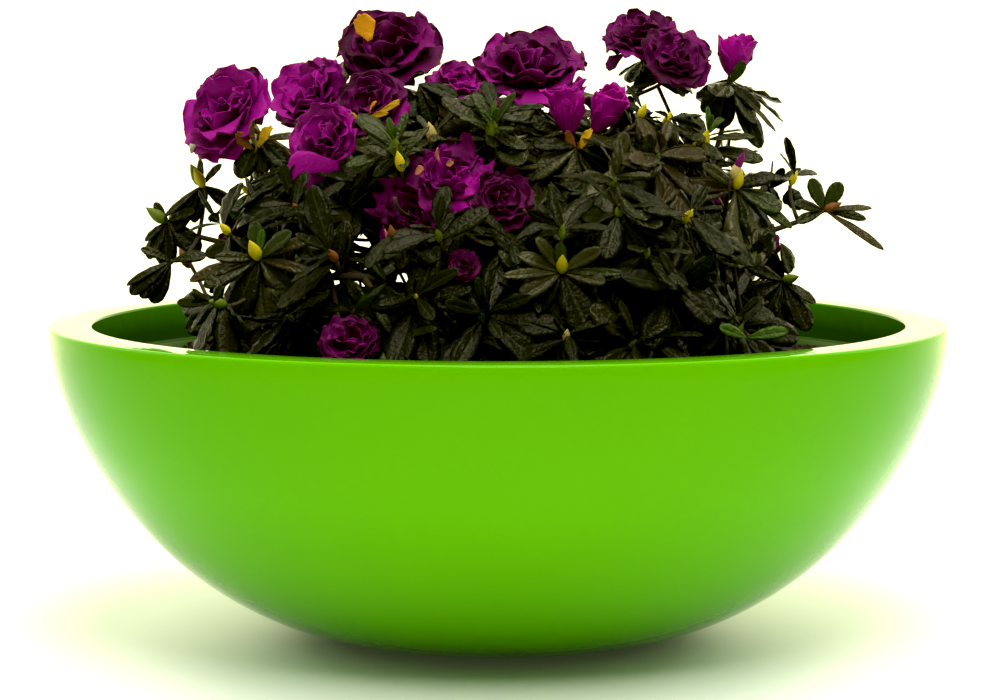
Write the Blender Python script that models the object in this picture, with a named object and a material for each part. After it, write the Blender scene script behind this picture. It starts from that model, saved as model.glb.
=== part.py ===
"""A double azalea in full bloom, growing in a wide round lacquered bowl.

The bowl and its potting mix are turned solids. A short flared stem stands on the mix and carries one
tapering bough for each mass of the crown. Each mass starts 0.3 mm clear of its bough's end. Its twigs
grow out to named blooms and leaf whorls and then, by a seeded rule, to the rest of the crown's surface.
A mass keeps to the space that is nearer to its own blooms, whorls and hub than to any other mass's.
Units are metres. The origin is on the floor under the middle of the bowl, and -Y is the front.
"""

import math
import random

import bmesh
import bpy
from mathutils import Matrix, Vector
from mathutils.bvhtree import BVHTree

# Bowl
RIM_RADIUS = 0.275
BOWL_HEIGHT = 0.193
FOOT_RADIUS = 0.080
SIDE_POWER = 1.87
FOOT_POWER = 1.66
RIM_WIDTH = 0.0265
RIM_EDGE = 0.0022
LIP_DEPTH = 0.024
LEDGE_WIDTH = 0.007
BOWL_FLOOR = 0.010
INNER_FOOT = 0.070
TURN_STEPS = 48
SIDE_RINGS = 10
INNER_RINGS = 3

# Hairline gap between pieces that touch on the real object
CLEARANCE = 0.0003

# Potting mix, a little higher round the stem than at the wall
MIX_EDGE = 0.1655
MIX_TOP = 0.1715
MIX_SHOULDER = (0.150, 0.1695)
MIX_WALL_GAP = 0.002

# Stem and boughs
STEM_HEIGHT = 0.050
STEM_RADIUS = 0.0100
FLARE_RADIUS = 0.0185
FLARE_HEIGHT = 0.014
STEM_LEAN = Vector((-0.006, 0.004, 0.0))
STEM_SIDES = 12
ROOT_RIDGES = 4
BOUGH_BASE = 0.0046
BOUGH_TIP = 0.0030
BOUGH_SIDES = 6
BOUGH_RINGS = 5
FORK_SPREAD = 0.0055
BOUGH_DIP = -0.10
FORK_ARCH = 0.16
HUB_SHORTFALL = 0.12
SHORTEST_BOUGH = 0.35

# Crown: the surface on which shoots of the seeded rule end
CROWN_CENTRE = Vector((0.000, 0.004, 0.200))
CROWN_REACH = Vector((0.184, 0.168, 0.112))
CROWN_POWER = 2.4
OUTER_SHOOTS = 100
INNER_SHOOTS = 24
INNER_SHARE = 0.74
SHOOT_SPACING = 0.034
SKIRT_RISE = -0.10
TOP_RISE = 0.96
SKIRT_CROWDING = 1.35
GOLDEN_TURN = math.pi * (3.0 - math.sqrt(5.0))

# Twigs, buds and leaves
TWIG_SIDES = 3
TWIG_BASE = 0.0022
TWIG_TIP = 0.0012
TWIG_THINNING = 0.84
TWIG_RINGS = 2
TWIG_TRIES = 3
TURN_COST = 0.6
BUD_RADIUS = 0.0040
BUD_BELOW = 0.006
BUD_ABOVE = 0.010
LEAF_LENGTH = 0.046
LEAF_SLIMNESS = 0.48
LEAF_THICKNESS = 0.0012
LEAF_FOLD = 0.10
LEAF_SAG = 0.14
LEAF_WIDEST = 0.56
LEAF_KEEL = 0.46
LEAF_SPREAD = (0.86, 1.08)
LEAF_TRIES = (1.0, 0.78, 0.6)
ROOT_THICKNESS = 0.0018
WHORL_LEAVES = 5
BLOOM_LEAVES = (0.0, -38.0)
NAMED_LEAVES = (15.0, -22.0)
SHOOT_LEAVES = (18.0, -20.0)
SHOOT_RISE = 0.7
BLOOM_ROOM = 0.6
SPACE_MARGIN = 0.0008
LIMB_MARGIN = 0.0010
BOWL_MARGIN = 0.0030
SAMPLE_STEP = 0.004
SLIVER = 0.0000001

# Blooms: turned ruffled cups, from the tube at the foot over the outer petals to the inner tuft.
# Each ring is (radius, height, ruffle) as shares of the bloom's width.
BLOOM_SIDES = 10
PETAL_LOBES = 5
BLOOM_FOOT = 0.40
BLOOM_RINGS = {
    "open": ((0.10, -0.30, 0.0), (0.42, -0.08, 0.10), (0.50, 0.10, 0.16), (0.27, 0.22, -0.16)),
    "half": ((0.14, -0.28, 0.0), (0.38, 0.04, 0.08), (0.38, 0.38, 0.14), (0.18, 0.46, -0.18)),
    "faded": ((0.12, -0.28, 0.0), (0.44, -0.10, 0.20), (0.44, 0.12, -0.24), (0.20, 0.24, 0.22)),
}
BLOOM_HEART = {"open": 0.14, "half": 0.34, "faded": 0.10}

# Hub of each mass: its place in the crown, the level at which its bough leaves the stem, and its seed
HUBS = {
    "left": (Vector((-0.148, 0.000, 0.238)), 0.024, 2),
    "front_left": (Vector((-0.098, -0.108, 0.228)), 0.038, 4),
    "front": (Vector((-0.022, -0.118, 0.236)), 0.024, 2),
    "front_right": (Vector((0.078, -0.112, 0.232)), 0.038, 4),
    "right": (Vector((0.156, -0.012, 0.246)), 0.024, 4),
    "back_right": (Vector((0.112, 0.104, 0.236)), 0.038, 4),
    "back": (Vector((0.004, 0.128, 0.236)), 0.024, 3),
    "back_left": (Vector((-0.106, 0.102, 0.234)), 0.038, 4),
    "top_left": (Vector((-0.066, 0.006, 0.298)), STEM_HEIGHT, 1),
    "top_right": (Vector((0.062, 0.000, 0.302)), STEM_HEIGHT, 2),
}

# Blooms that stand at the front and the top: mass, form, centre, width, heading and lift in degrees
BLOOMS = (
    ("left", "open", (-0.166, -0.020, 0.322), 0.060, 205, 30),
    ("top_left", "open", (-0.119, 0.030, 0.332), 0.050, 230, 35),
    ("top_left", "open", (-0.066, 0.004, 0.362), 0.066, 265, 55),
    ("top_left", "open", (-0.078, -0.040, 0.328), 0.046, 240, 35),
    ("top_left", "open", (-0.102, -0.072, 0.308), 0.044, 245, 10),
    ("top_left", "faded", (-0.024, 0.040, 0.338), 0.034, 290, 55),
    ("top_right", "open", (0.020, -0.008, 0.350), 0.060, 265, 60),
    ("top_right", "half", (0.041, -0.062, 0.325), 0.027, 250, 72),
    ("top_right", "half", (0.064, -0.056, 0.324), 0.026, 320, 66),
    ("top_right", "open", (0.086, 0.012, 0.369), 0.044, 250, 60),
    ("top_right", "open", (0.108, -0.014, 0.355), 0.042, 290, 40),
    ("right", "half", (0.145, 0.010, 0.354), 0.030, 340, 75),
    ("front", "faded", (-0.027, -0.104, 0.288), 0.040, 275, 40),
    ("front", "faded", (-0.052, -0.106, 0.266), 0.038, 240, 15),
    ("front", "open", (0.002, -0.114, 0.274), 0.038, 280, 30),
    ("front_left", "open", (-0.085, -0.158, 0.196), 0.042, 260, 50),
)

# Leaf whorls that stand out: mass, centre, leaf length, heading and lift in degrees
WHORLS = (
    ("front_left", (-0.138, -0.128, 0.240), 0.042, 240, 50),
    ("front_right", (0.036, -0.150, 0.234), 0.042, 272, 50),
    ("top_right", (-0.003, -0.082, 0.306), 0.036, 262, 60),
    ("right", (0.141, -0.070, 0.278), 0.050, 280, 65),
    ("front", (-0.059, -0.094, 0.296), 0.034, 255, 60),
    ("right", (0.198, -0.020, 0.262), 0.038, 350, 25),
    ("left", (-0.204, 0.002, 0.254), 0.036, 185, 35),
    ("left", (-0.198, -0.032, 0.232), 0.036, 200, 10),
    ("left", (-0.182, 0.006, 0.276), 0.030, 170, 60),
    ("front_left", (-0.156, -0.140, 0.214), 0.040, 220, 15),
    ("right", (0.170, -0.056, 0.222), 0.038, 320, 15),
    ("top_right", (0.122, -0.040, 0.300), 0.036, 300, 60),
    ("front", (-0.046, -0.150, 0.216), 0.044, 262, 30),
    ("front", (-0.008, -0.152, 0.206), 0.042, 275, 30),
)

# The back of the crown carries as many blooms as the front, in two rows that alternate
BACK_BLOOMS = 9
BACK_HEADINGS = (2.0, 178.0)
BACK_ROWS = ((0.88, 34.0, 0.054), (0.98, 14.0, 0.046))


def material(name, colour, roughness, coat=0.0):
    """A plain finish for one kind of sub-part."""
    made = bpy.data.materials.new(name)
    made.use_nodes = True
    shader = made.node_tree.nodes["Principled BSDF"]
    shader.inputs["Base Color"].default_value = (*colour, 1.0)
    shader.inputs["Roughness"].default_value = roughness
    shader.inputs["Metallic"].default_value = 0.0
    shader.inputs["Coat Weight"].default_value = coat
    return made


def add_object(name, bm, finish, collection=None):
    """Puts a finished bmesh into the scene as one named object."""
    mesh = bpy.data.meshes.new(name)
    bm.to_mesh(mesh)
    bm.free()
    obj = bpy.data.objects.new(name, mesh)
    obj.data.materials.append(finish)
    (collection or bpy.context.scene.collection).objects.link(obj)
    return obj


def solid(corners, faces):
    """A bmesh from the corners and faces of one closed form."""
    bm = bmesh.new()
    made = [bm.verts.new(corner) for corner in corners]
    for face in faces:
        bm.faces.new([made[index] for index in face])
    return bm


def turned(name, profile, steps, finish):
    """Spins a profile of (radius, height) points once round Z into a closed solid."""
    bm = bmesh.new()
    points = [bm.verts.new((radius, 0.0, height)) for radius, height in profile]
    edges = [bm.edges.new(pair) for pair in zip(points, points[1:])]
    bmesh.ops.spin(bm, geom=points + edges, angle=math.tau, steps=steps, axis=(0, 0, 1), cent=(0, 0, 0))
    bmesh.ops.remove_doubles(bm, verts=bm.verts, dist=0.00001)
    bmesh.ops.recalc_face_normals(bm, faces=bm.faces)
    obj = add_object(name, bm, finish)
    obj.data.shade_smooth()
    obj.data.set_sharp_from_angle(angle=math.radians(35.0))
    return obj


def side_curve(foot, rim, low, high, rings):
    """Points up one side of the bowl, from its flat foot to its rim, along a superellipse."""
    points = []
    for ring in range(rings + 1):
        turn = math.pi / 2 * ring / rings
        radius = foot + (rim - foot) * math.sin(turn) ** (2 / SIDE_POWER)
        points.append((radius, low + (high - low) * (1 - math.cos(turn) ** (2 / FOOT_POWER))))
    return points


def inner_curve(gap):
    """The inside of the bowl below its ledge, drawn in by a gap for what fills it."""
    ledge_radius = RIM_RADIUS - RIM_WIDTH - LEDGE_WIDTH - gap
    ledge_height = BOWL_HEIGHT - LIP_DEPTH
    return side_curve(INNER_FOOT - gap, ledge_radius, BOWL_FLOOR + gap, ledge_height, INNER_RINGS)


def make_bowl(finish):
    """The bowl: a round-bottomed shell with a broad flat rim, an upright lip inside it and a ledge."""
    outer = side_curve(FOOT_RADIUS, RIM_RADIUS, 0.0, BOWL_HEIGHT - RIM_EDGE, SIDE_RINGS)
    edge = RIM_EDGE * (1 - math.sqrt(0.5))
    rim = [(RIM_RADIUS - edge, BOWL_HEIGHT - edge), (RIM_RADIUS - RIM_EDGE, BOWL_HEIGHT)]
    lip_radius = RIM_RADIUS - RIM_WIDTH
    lip = [(lip_radius, BOWL_HEIGHT), (lip_radius, BOWL_HEIGHT - LIP_DEPTH)]
    inside = inner_curve(0.0)[::-1]
    turned("planter_bowl", [(0.0, 0.0), *outer, *rim, *lip, *inside, (0.0, BOWL_FLOOR)], TURN_STEPS, finish)


def make_potting_mix(finish):
    """The mix that fills the bowl up to just under its ledge, with a flat place for the stem."""
    wall = [point for point in inner_curve(CLEARANCE) if point[1] < MIX_EDGE]
    edge_radius = RIM_RADIUS - RIM_WIDTH - LEDGE_WIDTH - CLEARANCE
    top = [(edge_radius - MIX_WALL_GAP, MIX_EDGE), MIX_SHOULDER, (FLARE_RADIUS * 2, MIX_TOP)]
    turned("potting_mix", [(0.0, BOWL_FLOOR + CLEARANCE), *wall, *top, (0.0, MIX_TOP)], TURN_STEPS, finish)


def way_at(path, index):
    """The direction of a path at one of its points."""
    ahead = path[min(index + 1, len(path) - 1)]
    behind = path[max(index - 1, 0)]
    return (ahead - behind).normalized()


def tube(path, radii, sides, flutes=None):
    """A closed tapering limb along a path, with flat ends; flutes are the depth of its root ridges."""
    corners = []
    faces = []
    out = way_at(path, 0).orthogonal().normalized()
    for index, (point, radius) in enumerate(zip(path, radii)):
        along = way_at(path, index)
        out = (out - along * out.dot(along)).normalized()
        across = along.cross(out)
        depth = flutes[index] if flutes else 0.0
        for side in range(sides):
            turn = math.tau * side / sides
            reach = radius * (1.0 + depth * math.cos(ROOT_RIDGES * turn))
            corners.append(point + (out * math.cos(turn) + across * math.sin(turn)) * reach)
    for ring in range(len(path) - 1):
        for side in range(sides):
            a = ring * sides + side
            b = ring * sides + (side + 1) % sides
            faces.append((a, b, b + sides, a + sides))
    faces.append(tuple(range(sides))[::-1])
    faces.append(tuple(range(len(corners) - sides, len(corners))))
    return corners, faces


def bend(start, pull, end, rings):
    """Points along a quadratic curve that leaves start towards pull and arrives at end."""
    points = []
    for ring in range(rings + 1):
        t = ring / rings
        points.append(start * (1 - t) ** 2 + pull * (2 * t * (1 - t)) + end * t ** 2)
    return points


def taper(start, end, rings):
    """Radii that fall evenly from start to end."""
    return [start + (end - start) * ring / rings for ring in range(rings + 1)]


def stem_point(height):
    """A point on the leaning stem's axis, at a height above the mix."""
    foot = Vector((0.0, 0.0, MIX_TOP + CLEARANCE))
    lean = max(0.0, height - FLARE_HEIGHT) / (STEM_HEIGHT - FLARE_HEIGHT)
    return foot + STEM_LEAN * lean + Vector((0.0, 0.0, height))


def stem_outline(swell):
    """Path, radii and flute depths of the stem, swollen evenly by a gap when it is used as a cutter."""
    heights = (0.0, FLARE_HEIGHT * 0.3, FLARE_HEIGHT, STEM_HEIGHT * 0.55, STEM_HEIGHT)
    widths = (FLARE_RADIUS, FLARE_RADIUS * 0.80, STEM_RADIUS * 1.18, STEM_RADIUS * 1.04, STEM_RADIUS)
    path = [stem_point(height) for height in heights]
    path[-1] = path[-1] + Vector((0.0, 0.0, swell))
    return path, [width + swell for width in widths], (0.14, 0.10, 0.03, 0.0, 0.0)


def make_stem(finish):
    """The short main stem, flared and ridged at its foot, cut flat where it meets the mix."""
    path, radii, flutes = stem_outline(0.0)
    obj = add_object("main_stem", solid(*tube(path, radii, STEM_SIDES, flutes)), finish)
    obj.data.shade_smooth()
    obj.data.set_sharp_from_angle(angle=math.radians(50.0))


def facing(heading, lift):
    """The unit vector that points to a heading round Z from +X and lifts above level, in degrees."""
    level = math.cos(math.radians(lift))
    turn = math.radians(heading)
    return Vector((level * math.cos(turn), level * math.sin(turn), math.sin(math.radians(lift))))


def crown_point(direction, share):
    """Where a ray from the crown's centre meets its surface, or a share of the way there."""
    parts = [abs(direction[axis] / CROWN_REACH[axis]) ** CROWN_POWER for axis in range(3)]
    return CROWN_CENTRE + direction * (share / sum(parts) ** (1 / CROWN_POWER))


def back_blooms():
    """Blooms of the crown's far side, in two alternating rows, each given to the nearest hub's mass."""
    first, last = BACK_HEADINGS
    made = []
    for number in range(BACK_BLOOMS):
        share, lift, width = BACK_ROWS[number % 2]
        heading = first + (last - first) * number / (BACK_BLOOMS - 1)
        centre = crown_point(facing(heading, lift), share)
        mass = min(HUBS, key=lambda name: (HUBS[name][0] - centre).length)
        made.append((mass, "open", centre, width, heading, lift + 25.0))
    return made


ALL_BLOOMS = BLOOMS + tuple(back_blooms())
CENTRES = {name: [hub] for name, (hub, level, seed) in HUBS.items()}
for row in ALL_BLOOMS:
    CENTRES[row[0]].append(Vector(row[2]))
for row in WHORLS:
    CENTRES[row[0]].append(Vector(row[1]))


def in_own_space(mass, point):
    """True where a point is nearer to the mass's own centres than to any other mass's, by the margin."""
    own = min(CENTRES[mass], key=lambda centre: (centre - point).length_squared)
    near = (own - point).length_squared
    for other, centres in CENTRES.items():
        if other == mass:
            continue
        for centre in centres:
            if (centre - point).length_squared - near < 2 * SPACE_MARGIN * (centre - own).length:
                return False
    return True


def clear_of_bowl(point):
    """True above the mix and inside the lip, or above the rim."""
    if point.z > BOWL_HEIGHT + BOWL_MARGIN:
        return True
    lip_radius = RIM_RADIUS - RIM_WIDTH - BOWL_MARGIN
    return point.z > MIX_TOP + BOWL_MARGIN and math.hypot(point.x, point.y) < lip_radius


def clear_of_limbs(point, limbs):
    """True where a point keeps its distance from every stretch of stem and bough."""
    for start, end, radius in limbs:
        run = end - start
        share = min(max((point - start).dot(run) / run.length_squared, 0.0), 1.0)
        if (point - start - run * share).length < radius + LIMB_MARGIN:
            return False
    return True


def line_fits(mass, line, limbs):
    """True where every sampled point of a broken line stays in its mass's space."""
    for start, end in zip(line, line[1:]):
        steps = max(1, math.ceil((end - start).length / SAMPLE_STEP))
        for step in range(steps + 1):
            point = start.lerp(end, step / steps)
            if not (in_own_space(mass, point) and clear_of_bowl(point) and clear_of_limbs(point, limbs)):
                return False
    return True


def bough_path(mass):
    """The axis of a bough: out of the stem, up, and on to where its mass's own space starts."""
    hub, level, seed = HUBS[mass]
    start = stem_point(level)
    if level == STEM_HEIGHT:
        start = start + Vector((math.copysign(FORK_SPREAD, hub.x), 0.0, -STEM_RADIUS * 0.5))
    share = 1.0
    while share > SHORTEST_BOUGH and in_own_space(mass, start.lerp(hub, share - HUB_SHORTFALL)):
        share -= 0.05
    end = start.lerp(hub, share)
    pull = start.lerp(end, 0.5) + Vector((0.0, 0.0, BOUGH_DIP * (end - start).length))
    if level == STEM_HEIGHT:
        pull = start.lerp(end, 0.4) + Vector((0.0, 0.0, FORK_ARCH * (end - start).length))
    return bend(start, pull, end, BOUGH_RINGS)


def make_bough(mass, path, finish):
    """One tapering bough, its foot cut to the stem's round with a hairline gap."""
    radii = taper(BOUGH_BASE, BOUGH_TIP, BOUGH_RINGS)
    bough = add_object("bough_" + mass, solid(*tube(path, radii, BOUGH_SIDES)), finish)
    stem_path, stem_radii, flutes = stem_outline(CLEARANCE)
    cutter = add_object("stem_cutter", solid(*tube(stem_path, stem_radii, STEM_SIDES, flutes)), finish)
    cut = bough.modifiers.new("seat on stem", "BOOLEAN")
    cut.operation = "DIFFERENCE"
    cut.object = cutter
    apply_modifiers(bough)
    bpy.data.objects.remove(cutter)
    keep_largest_body(bough.data)
    bough.data.shade_smooth()
    bough.data.set_sharp_from_angle(angle=math.radians(50.0))


def apply_modifiers(obj):
    """Replaces an object's mesh by what its modifiers make of it."""
    graph = bpy.context.evaluated_depsgraph_get()
    finished = bpy.data.meshes.new_from_object(obj.evaluated_get(graph), depsgraph=graph)
    obj.modifiers.clear()
    obj.data = finished


def keep_largest_body(mesh):
    """Drops loose scraps, sealed hollows and slivers, by keeping only the mesh's largest closed shell."""
    bm = bmesh.new()
    bm.from_mesh(mesh)
    bm.faces.ensure_lookup_table()
    seen = set()
    shells = []
    for face in bm.faces:
        if face in seen:
            continue
        shell = [face]
        seen.add(face)
        for reached in shell:
            for edge in reached.edges:
                for other in edge.link_faces:
                    if other not in seen:
                        seen.add(other)
                        shell.append(other)
        shells.append(shell)
    shells.sort(key=lambda shell: -sum(reached.calc_area() for reached in shell))
    for shell in shells[1:]:
        bmesh.ops.delete(bm, geom=shell, context="FACES")
    bmesh.ops.dissolve_degenerate(bm, dist=SLIVER, edges=bm.edges)
    bm.to_mesh(mesh)
    bm.free()


def leaf_corners(centre, along, up, length):
    """Right side, tip, left side, upper keel and lower keel of a thin folded leaf that droops to its tip."""
    side = along.cross(up).normalized() * (length * LEAF_SLIMNESS / 2)
    widest = centre + along * (length * LEAF_WIDEST)
    keel = centre + along * (length * LEAF_KEEL) - up * (length * LEAF_FOLD)
    tip = centre + along * length - up * (length * LEAF_SAG)
    half = up * (LEAF_THICKNESS / 2)
    return [widest + side, tip, widest - side, keel + half, keel - half]


def whorl_solid(centre, axis, start, leaves):
    """A pointed bud and the leaves round it as one closed form; a place with no leaf is closed off.

    Each leaf is None or its corners. Its root takes one side of the bud's ring, so it is as wide and
    as thick there as the bud.
    """
    out = axis.orthogonal().normalized()
    across = axis.cross(out)
    count = len(leaves)
    corners = [centre + axis * BUD_ABOVE, centre - axis * BUD_BELOW]
    for place in range(count):
        turn = start + math.tau * (place - 0.5) / count
        rim = centre + (out * math.cos(turn) + across * math.sin(turn)) * BUD_RADIUS
        corners += [rim + axis * ROOT_THICKNESS / 2, rim - axis * ROOT_THICKNESS / 2]
    faces = []
    for place, blade in enumerate(leaves):
        right, left = 2 + 2 * place, 2 + 2 * ((place + 1) % count)
        faces += [(right, left, 0), (left + 1, right + 1, 1)]
        if blade is None:
            faces.append((left, right, right + 1, left + 1))
            continue
        first = len(corners)
        corners += blade
        upper, lower = first + 3, first + 4
        outline = (first, first + 1, first + 2)
        above = (right, *outline, left, right)
        below = (right + 1, *outline, left + 1, right + 1)
        faces += [(a, b, upper) for a, b in zip(above, above[1:])]
        faces += [(b, a, lower) for a, b in zip(below, below[1:])]
        faces += [(right + 1, first, right), (left, first + 2, left + 1)]
    return corners, faces


def bloom_solid(form, centre, axis, width, turn):
    """A ruffled double bloom as one closed cup: foot, outer petals, inner tuft and heart."""
    frame = Matrix.Translation(centre) @ axis.to_track_quat("Z", "Y").to_matrix().to_4x4()
    rings = BLOOM_RINGS[form]
    corners = [Vector((0.0, 0.0, -BLOOM_FOOT * width))]
    for number, (radius, height, ruffle) in enumerate(rings):
        for side in range(BLOOM_SIDES):
            angle = turn + math.tau * (side + 0.5 * number) / BLOOM_SIDES
            wave = math.cos(PETAL_LOBES * math.tau * side / BLOOM_SIDES)
            reach = width * radius * (1.0 + ruffle * wave)
            rise = width * (height - 0.25 * ruffle * wave)
            corners.append(Vector((reach * math.cos(angle), reach * math.sin(angle), rise)))
    corners.append(Vector((0.0, 0.0, BLOOM_HEART[form] * width)))
    faces = []
    last = len(corners) - 1
    for side in range(BLOOM_SIDES):
        after = (side + 1) % BLOOM_SIDES
        faces.append((0, 1 + after, 1 + side))
        top = last - BLOOM_SIDES
        faces.append((top + side, top + after, last))
        for ring in range(len(rings) - 1):
            base = 1 + ring * BLOOM_SIDES
            a, b = base + side, base + after
            c, d = a + BLOOM_SIDES, b + BLOOM_SIDES
            faces.append((a, b, c))
            faces.append((b, d, c))
    return [frame @ corner for corner in corners], faces


class Mass:
    """One mass of foliage, grown outwards from the end of its bough inside its own space."""

    def __init__(self, name, bough, limbs):
        self.name = name
        self.limbs = limbs
        hub, level, seed = HUBS[name]
        self.random = random.Random(seed)
        self.ends = []
        self.pieces = []
        self.shapes = []
        way = (bough[-1] - bough[-2]).normalized()
        start = bough[-1] + way * CLEARANCE
        pull = start + way * ((hub - start).length * 0.4)
        path = bend(start, pull, hub, TWIG_RINGS)
        self.nodes = []
        self.stem = tube(path, taper(BOUGH_TIP, TWIG_BASE, TWIG_RINGS), TWIG_SIDES)
        self.add_nodes(path, taper(BOUGH_TIP, TWIG_BASE, TWIG_RINGS), TWIG_RINGS)

    def add_nodes(self, path, radii, last):
        """Makes the inner points of a twig into places where others can start."""
        for index in range(1, last + 1):
            self.nodes.append((path[index], way_at(path, index), radii[index]))

    def crosses(self, piece):
        """True where a piece runs through any piece of its mass."""
        shape = BVHTree.FromPolygons(*piece)
        return any(shape.overlap(other) for other in self.shapes)

    def keep(self, piece):
        """Adds a piece to the mass."""
        self.pieces.append(piece)
        self.shapes.append(BVHTree.FromPolygons(*piece))

    def grow_to(self, end, axis):
        """Grows one twig from the nearest fitting point of the mass to an end; says if it fitted."""
        def cost(node):
            """The way to the end, made dearer where a twig would have to turn back to take it."""
            run = end - node[0]
            return run.length * (1.0 + TURN_COST - TURN_COST * run.normalized().dot(node[1]))

        for point, way, radius in sorted(self.nodes, key=cost)[:TWIG_TRIES]:
            length = (end - point).length
            if length < 2 * TWIG_BASE:
                continue
            pull = end - axis * (length * 0.35) + way * (length * 0.10)
            path = bend(point, pull, end, TWIG_RINGS)
            if line_fits(self.name, path[1:], self.limbs):
                radii = taper(max(radius * TWIG_THINNING, TWIG_TIP), TWIG_TIP, TWIG_RINGS)
                self.keep(tube(path, radii, TWIG_SIDES))
                self.add_nodes(path, radii, TWIG_RINGS - 1)
                self.ends.append(end)
                return True
        return False

    def add_whorl(self, centre, axis, length, count, lifts):
        """A bud with leaves round it that alternate between two lifts, in degrees."""
        out = axis.orthogonal().normalized()
        across = axis.cross(out)
        start = self.random.uniform(0.0, math.tau)
        leaves = []
        for place in range(count):
            turn = start + math.tau * place / count
            radial = out * math.cos(turn) + across * math.sin(turn)
            lift = math.radians(lifts[0] if place % 2 else lifts[1])
            along = radial * math.cos(lift) + axis * math.sin(lift)
            up = axis * math.cos(lift) - radial * math.sin(lift)
            longest = length * self.random.uniform(*LEAF_SPREAD)
            blades = (leaf_corners(centre, along, up, longest * share) for share in LEAF_TRIES)
            root = centre + along * (BUD_RADIUS * 1.5)
            leaves.append(next((blade for blade in blades if self.has_room(root, blade)), None))
        self.keep(whorl_solid(centre, axis, start, leaves))

    def has_room(self, root, blade):
        """True where a leaf stays in its mass's space and runs through nothing that is there already."""
        outline = [*blade[:3], root, *blade[:4:3]]
        free = ([root, *blade], ((0, 1, 4), (1, 2, 4), (2, 3, 4), (3, 0, 4)))
        return line_fits(self.name, outline, self.limbs) and not self.crosses(free)

    def fuse(self, finish):
        """Joins stem, twigs, buds, leaves and blooms into one solid by a single union."""
        name = "foliage_" + self.name
        body = add_object(name, solid(*self.stem), finish)
        parts = bpy.data.collections.new(name + "_parts")
        bpy.context.scene.collection.children.link(parts)
        for number, piece in enumerate(self.pieces):
            add_object(f"{name}_{number}", solid(*piece), finish, parts)
        union = body.modifiers.new("fuse", "BOOLEAN")
        union.operation = "UNION"
        union.operand_type = "COLLECTION"
        union.collection = parts
        # EXACT leaves open edges where hundreds of thin leaves meet their buds.
        union.solver = "MANIFOLD"
        apply_modifiers(body)
        for piece in list(parts.objects):
            bpy.data.objects.remove(piece)
        bpy.data.collections.remove(parts)
        keep_largest_body(body.data)
        body.data.shade_flat()


def seeded_shoots(count, share):
    """Even directions over the crown, from its skirt to its top, as (end, outward way) pairs."""
    for number in range(count):
        rise = SKIRT_RISE + (TOP_RISE - SKIRT_RISE) * ((number + 0.5) / count) ** SKIRT_CROWDING
        level = math.sqrt(max(0.0, 1.0 - rise * rise))
        turn = GOLDEN_TURN * number
        way = Vector((level * math.cos(turn), level * math.sin(turn), rise))
        yield crown_point(way, share), way.normalized()


def grow_crown(finish, limbs, boughs):
    """Grows every mass: first all twigs and blooms, then the leaves wherever there is room for them."""
    masses = {name: Mass(name, boughs[name], limbs) for name in HUBS}
    whorls = []
    for name, form, centre, width, heading, lift in ALL_BLOOMS:
        axis = facing(heading, lift)
        foot = Vector(centre) - axis * (BLOOM_FOOT * width + BUD_RADIUS)
        if masses[name].grow_to(foot, axis):
            whorls.append((masses[name], foot, axis, LEAF_LENGTH, WHORL_LEAVES, BLOOM_LEAVES))
    for name, centre, length, heading, lift in WHORLS:
        axis = facing(heading, lift)
        if masses[name].grow_to(Vector(centre), axis):
            whorls.append((masses[name], Vector(centre), axis, length, WHORL_LEAVES + 1, NAMED_LEAVES))
    shoots = [*seeded_shoots(OUTER_SHOOTS, 1.0), *seeded_shoots(INNER_SHOOTS, INNER_SHARE)]
    for end, way in sorted(shoots, key=lambda shoot: (shoot[0] - CROWN_CENTRE).length):
        name = next((name for name in HUBS if in_own_space(name, end)), None)
        near_bloom = any((end - Vector(bloom[2])).length < bloom[3] * BLOOM_ROOM for bloom in ALL_BLOOMS)
        ends = [other for mass in masses.values() for other in mass.ends]
        if name is None or near_bloom or any((end - other).length < SHOOT_SPACING for other in ends):
            continue
        axis = (way + Vector((0.0, 0.0, SHOOT_RISE))).normalized()
        if masses[name].grow_to(end, axis):
            whorls.append((masses[name], end, axis, LEAF_LENGTH, WHORL_LEAVES, SHOOT_LEAVES))
    for name, form, centre, width, heading, lift in ALL_BLOOMS:
        turn = masses[name].random.uniform(0.0, math.tau)
        masses[name].keep(bloom_solid(form, Vector(centre), facing(heading, lift), width, turn))
    for mass, centre, axis, length, count, lifts in whorls:
        mass.add_whorl(centre, axis, length, count, lifts)
    for mass in masses.values():
        mass.fuse(finish)


def build():
    """Clears the scene and builds the planted bowl."""
    for obj in list(bpy.data.objects):
        bpy.data.objects.remove(obj, do_unlink=True)
    lacquer = material("lime lacquer", (0.13, 0.53, 0.005), 0.12, 1.0)
    mix = material("potting mix", (0.035, 0.022, 0.014), 0.95)
    bark = material("bark", (0.115, 0.075, 0.050), 0.85)
    foliage = material("foliage", (0.020, 0.034, 0.012), 0.45)
    make_bowl(lacquer)
    make_potting_mix(mix)
    make_stem(bark)
    boughs = {name: bough_path(name) for name in HUBS}
    stem_path, stem_radii, flutes = stem_outline(0.0)
    limbs = list(zip(stem_path, stem_path[1:], stem_radii))
    for name, path in boughs.items():
        make_bough(name, path, bark)
        limbs += zip(path, path[1:], taper(BOUGH_BASE, BOUGH_TIP, BOUGH_RINGS))
    grow_crown(foliage, limbs, boughs)


build()
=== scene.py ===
# %% [markdown]
# # A double azalea in a round lacquered bowl
#
# The real object is a low evergreen shrub with deep purple double flowers, planted in a wide bowl of glass
# fibre with a lime green gloss lacquer. The shapes of its solids come packed, as a frame of rigid nodes.
# This lesson dresses that frame: the round pieces are turned again with many more steps, the stem gets its
# bark, and the crown is grown once more by the same rule, and on to finer twigs, leaves and petals.

# %% The frame and its box
import math
import random

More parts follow.
